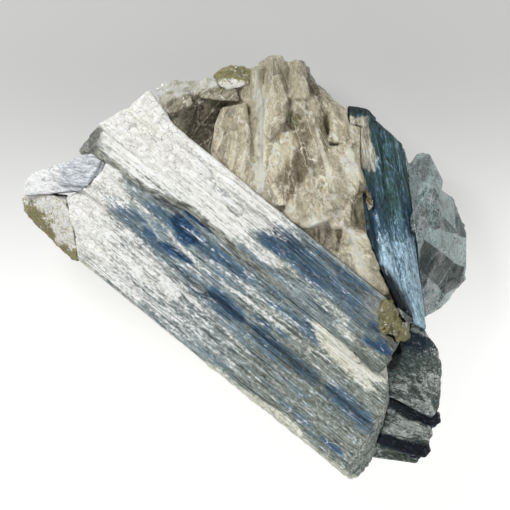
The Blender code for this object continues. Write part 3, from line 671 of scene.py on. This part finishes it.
# ---------------- left end blade
# The short bluish-white plate of kyanite at the left tip. It broke off the front blade and healed on askew,
# and its rim is crumbly along the break.

lilac_kyanite = kyanite(
    "lilac_kyanite",
    deep=(0.25, 0.29, 0.36),
    mid=(0.42, 0.47, 0.54),
    body=(0.58, 0.61, 0.65),
    olive=(0.46, 0.47, 0.44),
    pale=(0.88, 0.88, 0.87),
    cream=(0.5, 0.47, 0.38),
    contrast=0.5,
)

plate = Skin("left_end_plate", "left_end_blade", pitch=0.26)
grain = plate.along(HEADING + 0.5)
wander = soft_noise(grain, (5, 2.5, 5), 3, 240)
plate.raise_by(0.15 * soft_noise(grain, (3, 2, 2), 4, 230))
across = plate.places[:, :2] + 0.5 * wander[:, None]
# pale whitens the plate's left tip, partly its own white and partly painted light where it faces the lamp.
pale = strongest(np.clip(0.3 + 0.4 * wander, 0, 1), smooth_step(-across[:, 0], 39.5, 43.5))
broken_rim = strongest(
    lens(across, (-39.8, 12), (-35.6, 11.6), 1.2),
    lens(across, (-36.6, 11.6), (-32, 16.4), 3.6),
)
plate.keep(grain=grain, blue=np.clip(0.1 + 0.4 * wander, 0, 1), pale=pale, dark=0.25 * broken_rim)
plate.keep(cream=0, olive=np.clip(0.3 * wander, 0, 1), crackle=broken_rim, hollow=plate.hollowness(3))
plate.done(lilac_kyanite)


# ---------------- right blade
# The steep kyanite blade that crosses the quartz on the right: dark green-blue at its top, where quartz is
# spread over it, and light steel blue further down, paler low down partly as painted light. The crevice
# by its left side is painted dark as shade. It grew in one piece, split along its lower left edge.

RIGHT_HEADING = math.radians(-79)

steel_kyanite = kyanite(
    "steel_kyanite",
    deep=(0.01, 0.035, 0.1),
    mid=(0.045, 0.13, 0.2),
    body=(0.17, 0.32, 0.39),
    olive=(0.045, 0.1, 0.09),
    pale=(0.5, 0.7, 0.83),
    cream=(0.5, 0.46, 0.36),
    contrast=0.85,
)

right = Skin("right_blade_fibres", "right_blade", pitch=0.27)
grain = right.along(RIGHT_HEADING)
right.raise_by(fibrous(grain, rough=0.8, seed=310))
wander = soft_noise(grain, (9, 1.6, 6), 3, 340)
across = right.places[:, :2]
x, y = across.T
top_edge = 0.85 * smooth_step(y + wander, 34.4, 35.2)
left_edge = smooth_step(29.5 - 0.11 * y - x + 0.5 * wander, -1.2, 0.2)
quartz_spread = smooth_step(28.2 - x + 1.6 * wander, -0.8, 0.8) * smooth_step(y + wander, 20, 24)
quartz_spread *= 1 - smooth_step(y + wander, 33.6, 34.6)
blue = np.clip(0.45 + 0.8 * wander - 0.35 * smooth_step(-y, -9, 2), 0, 1)
blue *= 1 - 0.7 * smooth_step(y + 3 * wander, 12, 24)
blue = strongest(blue, 0.7 * lens(across, (33.4, 4), (37.4, -8), 3))
# Painted shade: dark down the crevice along the blade's left side, where the quartz meets it.
crevice_shade = lenses(across, ((30.4, 0.6), (37.4, -11.6), 2.8, 1), ((27, 16), (30.2, 1), 1, 0.8))
shards = smooth_step(soft_noise(grain, (7, 0.5, 2), 2, 360), 0.1, 0.25)
dark = np.clip(crevice_shade + 0.2 * wander, 0, 1) * (1 - 0.7 * shards)
dark = strongest(0.5 * smooth_step(y + 1.5 * wander, 28, 33), dark) * (1 - quartz_spread)
# pale is partly the blade's light blue and partly painted light on its lower part, which faces the lamp.
pale = np.clip(0.75 * smooth_step(-y, -13, -1) + 0.4 * wander, 0, 1) * (1 - left_edge)
pale = strongest(pale, 0.7 * lens(across, (29, 15), (31.6, 1.5), 1))
pale -= 0.3 * smooth_step(y + 2 * wander, 6, 16)
olive = strongest(smooth_step(y + 3 * wander, 0, 15), left_edge)
right.keep(grain=grain, blue=blue * (1 - quartz_spread), pale=pale, olive=olive)
right.keep(dark=strongest(dark, top_edge), cream=quartz_spread, crackle=0, hollow=right.hollowness(3))
right.done(steel_kyanite)


# ---------------- dark splinters
# Two slivers of kyanite in the crevice beside the right blade, painted near-black as the crevice's deep
# shade. They broke off it and are wedged between it and the quartz.

splinters = Skin("splinters", "dark_splinters", pitch=0.2)
grain = splinters.along(RIGHT_HEADING + 0.3)
splinters.raise_by(fibrous(grain, rough=0.4, seed=410))
wander = soft_noise(grain, (6, 0.6, 2), 2, 440)
# Painted shade: the slivers are blue-black all over, for the shade of the crevice.
splinters.keep(grain=grain, blue=1.2, dark=np.clip(0.9 - 0.6 * wander, 0.3, 1))
splinters.keep(pale=0, cream=0, olive=0, crackle=0, hollow=splinters.hollowness(3))
splinters.done(blue_kyanite)


# ---------------- blades under the right end
# Two grey kyanite blades that grew out from under the front blade: a broad one whose face rolls away, with a
# small spur below the right blade's tip, and a stack of laths under it, split by black bands.

grey_kyanite = kyanite(
    "grey_kyanite",
    deep=(0.006, 0.02, 0.05),
    mid=(0.025, 0.07, 0.09),
    body=(0.125, 0.18, 0.17),
    olive=(0.125, 0.155, 0.12),
    pale=(0.64, 0.69, 0.64),
    cream=(0.36, 0.35, 0.3),
)

spur_plan = ((37.5, -16), (40.6, -16), (40.4, -13.7), (39.1, -13.2), (37.5, -12.8))
spur = block(spur_plan, 11, (24.5, 23.4, 23.4, 24, 24.5))
upper = Skin("under_blade_face", "under_blade_upper", pitch=0.28, grown=[spur])
grain = upper.along(HEADING + 0.25)
upper.raise_by(fibrous(grain, rough=0.9, seed=510) + 0.2 * soft_noise(grain, (6, 2, 2), 3, 530))
wander = soft_noise(grain, (8, 1.6, 4), 3, 540)
across = upper.places[:, :2]
blue = np.clip(0.15 + 0.5 * wander + lens(across, (33, -14.5), (44.5, -18), 5), 0, 1)
blue = strongest(blue, lens(across, (33.5, -31), (44, -36), 3))
# The first dark lens is painted shadow, cast by the front blade's right edge.
dark = lenses(across, ((35.4, -16.6), (32.8, -23), 2.4, 0.9), ((33.5, -31), (40, -35), 2.4, 0.7))
pale = strongest(
    np.clip(0.2 + 0.8 * wander, 0, 1),
    lens(across, (38.6, -25.6), (43.3, -33.8), 1.1),
    0.7 * lens(across, (34, -24), (43, -28.5), 1),
)
upper.keep(grain=grain, blue=blue, pale=pale, dark=np.maximum(dark, 0.1))
upper.keep(cream=0, olive=np.clip(0.6 + 0.4 * wander, 0, 1), crackle=0, hollow=upper.hollowness(3))
upper.done(grey_kyanite)

lower = Skin("under_blade_laths", "under_blade_lower", pitch=0.28)
grain = lower.along(math.radians(-22))
lower.raise_by(fibrous(grain, rough=0.8, seed=610))
wander = soft_noise(grain, (8, 1.2, 4), 3, 640)
across = lower.places[:, :2] + 0.3 * wander[:, None]
black_bands = strongest(
    lens(across, (31, -28.4), (45.5, -35.6), 4),
    lens(across, (29.5, -38.4), (43.5, -42.8), 3.4),
)
blue = np.clip(0.3 + 0.5 * wander + 1.2 * black_bands, 0, 1.2)
pale = np.clip(0.35 + 0.8 * wander, 0, 1) * (1 - black_bands)
cream = np.clip(0.4 + 0.6 * wander, 0, 1) * (1 - black_bands)
lower.keep(grain=grain, blue=blue, pale=pale, dark=0.7 * black_bands, cream=cream)
lower.keep(olive=np.clip(0.5 - wander, 0, 1), crackle=0, hollow=lower.hollowness(3))
lower.done(grey_kyanite)


# ---------------- milky quartz
# The pale, glassy quartz that grew round the blades and holds them: long columns and splintery broken facets,
# beige where it is thick, with painted cream highlights on its ridges, brown cracks, and olive hollows that
# also carry painted shade.

SIDES = 6
CLEARANCE = 0.3  # mm, kept between a strewn crystal and the neighbouring piece
QUARTZ_IOR = 1.54


def crystal(width, depth, length, point, twist, lean, pitch):
    """The corners of a small crystal round its middle, in mm: six sides along Y and a point at each end. Its
    points are point times its width long, and lean and pitch tip it over sideways and up."""
    turns = [math.tau * (side + twist) / SIDES for side in range(SIDES)]
    corners = []
    for end in (-1, 1):
        shoulder = end * (length / 2 - point * width)
        corners += [(width / 2 * math.cos(turn), shoulder, depth / 2 * math.sin(turn)) for turn in turns]
        corners.append((0, end * length / 2, 0))
    tipped = Matrix.Rotation(lean, 3, "Z") @ Matrix.Rotation(pitch, 3, "X")
    return np.array(corners) @ np.array(tipped).T


CRYSTAL_FACES = []  # by the numbers of those corners
for side in range(SIDES):
    after = (side + 1) % SIDES
    far, far_after = side + SIDES + 1, after + SIDES + 1
    CRYSTAL_FACES += [(side, far, far_after, after), (side, after, SIDES), (far_after, far, 2 * SIDES + 1)]


def druse(node, count, seed, widths, lengths, fan, stray, proud, neighbour):
    """Small crystals strewn over a CAD solid, none of which stands proud of its skin by more than proud or
    reaches into its neighbour. fan gives the lean of those at X, and stray how far each strays from it."""
    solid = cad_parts[node]
    solid.data.calc_loop_triangles()
    corners = np.array([vertex.co for vertex in solid.data.vertices]) / MM
    triangles = corners[np.array([triangle.vertices for triangle in solid.data.loop_triangles])]
    outward = np.cross(triangles[:, 1] - triangles[:, 0], triangles[:, 2] - triangles[:, 0])
    areas = np.linalg.norm(outward, axis=1)
    outward /= np.maximum(areas, 1e-9)[:, None]
    skin, skin_beside = tree_of(solid), tree_of(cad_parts[neighbour])
    dice = np.random.default_rng(seed)
    grown = []
    for pick in dice.choice(len(triangles), count, p=areas / areas.sum()):
        place = dice.dirichlet((1, 1, 1)) @ triangles[pick]
        width, length = dice.uniform(*widths), dice.uniform(*lengths)
        point, twist = dice.uniform(0.2, 0.7), dice.random()
        lean = fan(place[0]) + dice.normal(0, stray)
        depth, pitch = width * dice.uniform(0.5, 1.0), dice.normal(0, stray)
        shape = crystal(width, depth, length, point, twist, lean, pitch)
        shape += place + outward[pick] * (proud * dice.uniform(0.3, 1.0) - (shape @ outward[pick]).max())
        if rises(skin, shape).max() < proud and rises(skin_beside, shape).min() > CLEARANCE:
            grown.append((shape, CRYSTAL_FACES))
    return grown


def tree_of(solid):
    """A CAD solid's faces in mm, in a tree for nearest-point searches."""
    corners = [vertex.co / MM for vertex in solid.data.vertices]
    return BVHTree.FromPolygons(corners, [face.vertices for face in solid.data.polygons])


def rises(skin, shape):
    """How far each of a shape's corners stands above a skin, in mm."""
    heights = []
    for corner in shape:
        spot, normal, _, away = skin.find_nearest(corner)
        heights.append(math.copysign(away, (Vector(corner) - spot).dot(normal)))
    return np.array(heights)


def splintered(places, seed):
    """The fine relief of broken quartz, in mm: small tilted facets and a little noise."""
    home, away, _ = grains(places, (1.8, 3.4, 1.8), seed)
    lean = scatter(home, seed + 40) - 0.5
    return 0.16 * (lean * away).sum(axis=1) + 0.05 * soft_noise(places, (1.5, 4, 1.5), 2, seed + 60)


GLINT = (0.9, 0.84, 0.69)  # the colour of thin broken edges and flaws that catch the light


def quartz(name, body, deep, ridge_highlight, stained):
    """The finish of broken quartz. It reads grain, light, hollow, deep and stain from the mesh. It paints
    highlights where light is set, glints along edges and flaws, and shade in hollows, in thin cracks and in
    part where deep is set.
    """
    finish = Finish(name)
    noise, line, ramp, mix = finish.noise, finish.line, finish.ramp, finish.mix
    grain = finish.kept("grain", 1)
    bright, hollow, dark, stain = map(finish.kept, ("light", "hollow", "deep", "stain"))
    clouds = noise(grain, (0.16, 0.08, 0.16), 5, 0.6, 0.8) - 0.5
    flakes = noise(grain, (0.7, 0.4, 0.7), 6, 0.7, 1.5) - 0.5
    grit = noise(grain, (2.6, 1.5, 2.6), 3, 0.6) - 0.5
    broad, broad_slope = finish.facets(grain, (0.3, 0.1, 0.3))
    fine, fine_slope = finish.facets(grain, (0.8, 0.33, 0.8))
    edges = finish.seams(grain, (0.3, 0.1, 0.3), 0.06, 0.25)
    net = finish.seams(grain, (0.8, 0.33, 0.8), 0.06, 0.4)
    veins = line(noise(grain, (0.3, 0.13, 0.3), 4, 0.6, 1.6), 0.5, 0.016)
    checks = line(noise(grain, (0.55, 0.3, 0.55), 4, 0.6, 1.2), 0.46, 0.012)
    # The deep colour comes in where deep is set, partly as painted shade, and stays out where light is.
    gloom = dark + 1.6 * clouds + 0.5 * flakes - 0.3 * broad - 0.1 * fine - 0.5 * bright
    colour = mix(body, deep, ramp(gloom, 0.05, 0.75))
    colour = mix(colour, stained, ramp(stain + 1.5 * flakes + 0.5 * fine, 0.3, 0.8))
    # Painted highlights: the ridge colour where light is set.
    light = 0.8 * bright + 0.9 * flakes - clouds + 0.6 * broad + 0.2 * fine
    colour = mix(colour, ridge_highlight, 0.85 * ramp(light, 0.15, 0.7) * (1 - 0.8 * dark))
    # Painted glints, and bright edges, net and veins in the glint colour.
    glints = ramp(flakes + 0.5 * grit, 0.12, 0.2)
    edges = edges * ramp(grit + flakes, -0.15, 0.05)
    net = 0.7 * net * ramp(clouds, -0.06, 0.03)
    for marks in (edges, net, 0.5 * veins, 0.8 * glints):
        colour = mix(colour, GLINT, marks * (1 - 0.6 * dark))
    # Painted shade: thin dark lines in the deep colour, for the shade inside cracks.
    colour = mix(colour, deep, 0.7 * checks * ramp(flakes, -0.1, 0.05))
    # The tone is raised where light is set, as painted light, and lowered in hollows as painted shade.
    tone = finish.clip(1.2 + 0.4 * broad + 0.15 * fine + 1.8 * flakes + 1.4 * grit + 0.25 * bright, 0.4, 1.5)
    tone = tone * ramp(hollow, 0.05, 0.5, 1.0, 0.5)
    finish.set(Base_Color=finish.shaded(colour, tone))
    finish.set(Roughness=ramp(flakes, -0.15, 0.15, 0.03, 0.2), IOR=QUARTZ_IOR, Transmission_Weight=0.25)
    finish.set(Specular_IOR_Level=1.0)
    finish.set(Normal=finish.bump(4.0 * broad_slope + 1.4 * fine_slope + 1.0 * flakes, 0.001, 1.0))
    return finish


COLUMN_TOP = (4, 65)  # mm, the point from which the columns of milky quartz fan out
COLUMN_LEAN = 60  # mm across for each radian that the columns lean
FAN_WIDTH = 40  # mm of the columns' grain for each radian of the fan

milk = quartz(
    "milky_quartz",
    body=(0.6, 0.525, 0.355),
    deep=(0.16, 0.115, 0.055),
    ridge_highlight=(0.86, 0.79, 0.61),
    stained=(0.2, 0.185, 0.08),
)

crystals = druse(
    "milky_quartz",
    count=1500,
    seed=5,
    widths=(2.5, 6),
    lengths=(8, 26),
    fan=lambda x: (x - COLUMN_TOP[0]) / COLUMN_LEAN,
    stray=0.06,
    proud=0.7,
    neighbour="right_blade",
)
columns = Skin("milky_quartz_columns", "milky_quartz", pitch=0.42, grown=crystals)
columns.raise_by(splintered(columns.places, 710))


def spots(places, *marks, wobble, seed):
    """Soft round patches seen from above. Each mark is X, Y, half its width and height, and strength."""
    drift = [soft_noise(places, (2.5, 2.5, 9), 2, number) for number in (seed, seed + 5)]
    x, y = (places[:, :2] + wobble * np.stack(drift, axis=1)).T
    total = np.zeros(len(places))
    for spot_x, spot_y, half_x, half_y, strength in marks:
        away = np.hypot((x - spot_x) / half_x, (y - spot_y) / half_y)
        total = strongest(total, strength * smooth_step(-away, -1.3, -0.6))
    return total


# deep is partly painted shade in hollows, as in the lens-shaped hollow at X 18, Y 7, and partly brown colour.
deep = spots(
    columns.places,
    (10.6, 33, 1.4, 2.4, 0.9),
    (9, 20, 3.4, 5.5, 0.85),
    (12.5, 23, 2, 4.5, 0.7),
    (18, 6.8, 4.6, 3.2, 0.95),
    (13, 29, 2, 3.4, 0.55),
    (15.6, 41, 1.8, 5, 0.7),
    (26.2, 13.4, 1.5, 5.4, 0.9),
    (27.9, 16, 1.6, 2.8, 1),
    wobble=1.2,
    seed=750,
)
stain = spots(
    columns.places,
    (17.8, 31, 1.7, 6, 0.95),
    (10.6, 33, 1.4, 1.8, 0.9),
    (7, 42, 2.4, 3, 0.4),
    (17, 20, 1.4, 6, 0.6),
    (26.4, 14.5, 1.9, 5, 0.8),
    wobble=1,
    seed=770,
)
across = columns.places[:, :2]
# Painted highlights: light marks bright ridges and stripes of the columns.
light = lenses(
    across,
    ((3.4, 46), (3.3, 14.5), 2.8, 1.1),
    ((15.3, 33.5), (21.4, 11.6), 1.2, 1.1),
    ((10.4, 29), (4.6, 27.6), 0.6, 0.6),
    ((10.6, 38), (9.2, 29.5), 0.7, 0.8),
    ((23.6, 27), (23.6, 17), 3.2, 0.9),
    ((19.6, 36.2), (20.4, 27.8), 0.7, 0.8),
    ((23.8, 36), (24.2, 28.4), 0.7, 0.8),
    ((-5.6, 38.4), (-7.6, 28), 0.8, 0.8),
    ((-4.6, 38.6), (2, 38), 0.8, 0.6),
    ((0.6, 28), (-1.6, 14), 1.4, 0.9),
    ((9, 14), (26, 3), 4.4, 0.6),
    ((23.6, 8), (27.8, -5), 3.6, 1.1),
)
fan = FAN_WIDTH * np.arctan2(across[:, 0] - COLUMN_TOP[0], COLUMN_TOP[1] - across[:, 1])
grain = np.stack((fan, across[:, 1], columns.places[:, 2]), axis=1)
columns.keep(grain=grain, light=light, deep=deep, stain=stain, hollow=columns.hollowness(4))
columns.done(milk)


# ---------------- smoky quartz
# The darker quartz round the hollow at the upper left, with a squarish block and white crusts at its edge,
# and the hollow painted dark as shade. It grew onto the milky quartz, and one crust reaches down beside the
# ledge's corner.

smoke = quartz(
    "smoky_quartz",
    body=(0.36, 0.33, 0.22),
    deep=(0.085, 0.07, 0.036),
    ridge_highlight=(0.88, 0.85, 0.73),
    stained=(0.21, 0.19, 0.09),
)
crystals = druse(
    "smoky_quartz",
    count=400,
    seed=6,
    widths=(2, 5),
    lengths=(3, 9),
    fan=lambda x: -0.5,
    stray=0.5,
    proud=0.5,
    neighbour="ledge_blade",
)
crust_plan = ((-19.4, 38.7), (-17.5, 37.5), (-17, 42), (-18.6, 41.9), (-20.2, 40.2))
crust = block(crust_plan, 12, (27, 27, 25, 25, 26))
lumps = Skin("smoky_quartz_lumps", "smoky_quartz", pitch=0.3, grown=[*crystals, crust])
lumps.raise_by(splintered(lumps.places, 810))
# Painted shade: the hollow at X -9, Y 33 is painted dark.
deep = spots(lumps.places, (-9, 33, 5, 6, 1), wobble=1, seed=850)
stained_spots = ((-8, 24.5, 4, 2.6, 0.8), (-6, 41, 3, 1.5, 0.7))
stain = spots(lumps.places, *stained_spots, wobble=1, seed=870)
x, y, _ = lumps.places.T
light = np.clip(smooth_step(y - 0.3 * x, 42, 43.5) + smooth_step(-x - 0.3 * y, 5.5, 7), 0, 1)
grain = lumps.along(math.radians(-30))
lumps.keep(grain=grain, light=light, deep=deep, stain=stain, hollow=lumps.hollowness(4))
lumps.done(smoke)


# ---------------- clear quartz
# The glassy crystal on the right edge, clear enough to see into and full of healed cracks. Some facets are
# painted dark and pale for what they reflect, and its facet edges carry painted highlights. It is one stout
# quartz crystal that grew out from behind the right blade.

glass = Finish("clear_quartz")
grain = glass.kept("grain", 1)
dark, pale_sheen = glass.kept("deep"), glass.kept("stain")
flakes = glass.noise(grain, (0.6, 0.4, 0.6), 6, 0.7, 1.2) - 0.5
broad, broad_slope = glass.facets(grain, (0.22, 0.14, 0.22))
fine, fine_slope = glass.facets(grain, (0.6, 0.35, 0.6))
edges = glass.seams(grain, (0.22, 0.14, 0.22), 0.03, 0.2)
veins = glass.line(glass.noise(grain, (0.35, 0.25, 0.35), 4, 0.6, 1.6), 0.5, 0.02)
checks = glass.line(glass.noise(grain, (0.5, 0.3, 0.5), 4, 0.6, 1.2), 0.46, 0.03)
cracks = glass.noise(grain, (0.8, 0.6, 0.8), 4, 0.6, 1.6)
cracked = glass.ramp(glass.noise(grain, (0.16, 0.12, 0.16), 3, 0.6), 0.42, 0.58) * (1 - 0.8 * dark)
gloom = 0.42 + 1.8 * broad + 0.3 * fine + 2.8 * flakes + 1.3 * dark - 0.8 * pale_sheen
colour = glass.mix((0.76, 0.97, 0.96), (0.03, 0.085, 0.08), glass.ramp(gloom, 0.1, 1.0))
# Painted reflection: near-black where a facet is painted dark.
colour = glass.mix(colour, (0.01, 0.03, 0.026), 0.95 * dark)
# Painted highlights: bright facet edges, and paleness where pale facets and spots are painted in.
painted_glow = 0.8 * edges * glass.ramp(flakes, -0.05, 0.1) + glass.ramp(pale_sheen + 1.5 * flakes, 0.5, 1.0)
colour = glass.mix(colour, (0.95, 0.98, 0.96), painted_glow * (1 - 0.7 * dark))
colour = glass.mix(colour, (0.02, 0.035, 0.03), 0.85 * checks)
colour = glass.mix(colour, (1.0, 1.0, 1.0), 0.7 * veins * (1 - 0.8 * dark))
colour = glass.mix(colour, (0.012, 0.025, 0.02), glass.line(cracks, 0.45, 0.05) * cracked)
colour = glass.mix(colour, (1.0, 1.0, 1.0), glass.line(cracks, 0.53, 0.045) * cracked)
glass.set(Base_Color=colour, Roughness=glass.ramp(flakes, -0.1, 0.15, 0.03, 0.2))
glass.set(IOR=QUARTZ_IOR, Transmission_Weight=0.6, Specular_IOR_Level=1.0)
glass.set(Normal=glass.bump(4.0 * broad_slope + 1.2 * fine_slope + 0.3 * flakes, 0.001, 0.9))
inside = glass.add("ShaderNodeVolumeAbsorption", {}, {"Color": (0.66, 0.76, 0.73, 1), "Density": 40.0})
glass.plug(glass.tree.nodes["Material Output"], {"Volume": inside})

crystals = druse(
    "clear_quartz",
    count=300,
    seed=7,
    widths=(2.5, 7),
    lengths=(4, 12),
    fan=lambda x: -0.3,
    stray=0.5,
    proud=0.6,
    neighbour="right_blade",
)
clear = Skin("clear_quartz_crystal", "clear_quartz", pitch=0.28, grown=crystals)
clear.raise_by(0.5 * splintered(clear.places, 910))


def flat_patch(places, *corners):
    """1 inside a flat facet seen from above, from its corners taken anticlockwise, and 0 outside it."""
    depth = np.full(len(places), 9.0)
    for (start_x, start_y), (end_x, end_y) in zip(corners, corners[1:] + corners[:1]):
        run_x, run_y = end_x - start_x, end_y - start_y
        side = run_x * (places[:, 1] - start_y) - run_y * (places[:, 0] - start_x)
        depth = np.minimum(depth, side / math.hypot(run_x, run_y))
    return smooth_step(depth, -0.15, 0.15)


places = clear.places
# Painted reflection: two facets at the foot are painted dark and one facet pale, with softer dark and pale
# spots.
deep = strongest(
    flat_patch(places, (39.3, 3.7), (39.5, -0.6), (43.7, -4), (47.3, 1.4), (40.4, 6.4)),
    flat_patch(places, (43.7, -4.2), (45.4, -6), (49.8, -3.4), (49.8, 0.2), (47.3, 1.2)),
    spots(places, (39.9, 22.2, 2.4, 2.6, 0.5), (37, 14, 2.4, 7, 0.4), wobble=0.6, seed=950),
)
pale = strongest(
    0.5 * flat_patch(places, (40.9, 9.3), (40.4, 6.4), (47.3, 1.4), (49.4, -0.2), (49.6, 7.3)),
    spots(places, (42.5, -4.6, 2, 1.2, 0.9), (40.6, -7, 2, 3, 0.6), wobble=0.6, seed=970),
)
clear.keep(grain=clear.along(math.radians(-15)), deep=deep, stain=pale)
clear.done(glass)


# ---------------- olive mica
# Small books of olive mica, grown onto the crystals beside them: a rim of mica and pale quartz under the left
# tip, a patch in the corner by the ledge's right end, and a rounded knob on the upper edge of the quartz.

mica = Finish("olive_mica")
place = mica.scaled(mica.add("ShaderNodeTexCoord", {}, {}, 3), (1 / MM,) * 3)
flakes = mica.noise(place, (1.1, 1.1, 2.2), 5, 0.7, 0.5) - 0.5
grit = mica.noise(place, (3.0, 3.0, 3.0), 4, 0.7) - 0.5
clouds = mica.noise(place, (0.35, 0.35, 0.35), 4, 0.6) - 0.5
cracks = mica.seams(place, (0.6, 0.6, 0.6), 0.07)
bright, hollow = mica.kept("bright"), mica.kept("hollow")
colour = mica.mix((0.385, 0.35, 0.155), (0.075, 0.078, 0.04), mica.ramp(flakes + clouds + grit, -0.1, 0.25))
quartz_share = mica.ramp(bright + 2.4 * clouds + 2.4 * flakes + grit, 0.2, 0.75)
colour = mica.mix(colour, (1.0, 0.96, 0.82), quartz_share)
colour = mica.mix(colour, (0.1, 0.08, 0.045), 0.8 * cracks * mica.ramp(flakes + grit, -0.1, 0.1))
tone = mica.clip(1.0 + 0.2 * bright + 2.4 * flakes + 2.4 * grit, 0.3, 1.7)
# Painted shade: darker in hollows.
tone = tone * mica.ramp(hollow, 0.02, 0.25, 1.0, 0.45)
mica.set(Base_Color=mica.shaded(colour, tone), Roughness=mica.ramp(flakes, -0.2, 0.2, 0.3, 0.55))
mica.set(Normal=mica.bump(flakes + grit, 0.0008, 0.8))


def mica_piece(name, node, pitch, seed, rough, bright, grown=()):
    """One growth of mica: its skin broken into lumps of that roughness and small flakes, with pale quartz
    where bright says so."""
    skin = Skin(name, node, pitch, grown)
    skin.raise_by(rough * soft_noise(skin.places, (2.2, 2.2, 1.6), 3, seed) + splintered(skin.places, seed))
    skin.keep(bright=bright(skin.places), hollow=skin.hollowness(4))
    skin.done(mica)


def rim_bright(places):
    """Pale quartz everywhere but along the outer edge, where the mica is."""
    wander = soft_noise(places, (3, 3, 3), 3, 1310)
    return 0.02 + 0.8 * smooth_step(places[:, 0] + places[:, 1] + 3 * wander, -37, -32)


def crown_bright(places):
    """Pale quartz along the knob's lower edge."""
    return 0.15 + 0.7 * smooth_step(-places[:, 1], -43, -41.4)


crumb_plan = ((-42.2, 14.4), (-40.4, 13.4), (-40, 14.8), (-40.5, 16.1), (-42.8, 16.2))
crumb = block(crumb_plan, 20, (28.8, 29.2, 29, 28.4, 28.2))
mica_piece("mica_rim", "olive_mica_rim", pitch=0.28, seed=1010, rough=0.4, bright=rim_bright, grown=[crumb])
mica_piece("mica_books", "mica_patch", pitch=0.24, seed=1110, rough=0.8, bright=lambda places: 0.05)
mica_piece("mica_crown", "mica_knob", pitch=0.24, seed=1210, rough=0.8, bright=crown_bright)
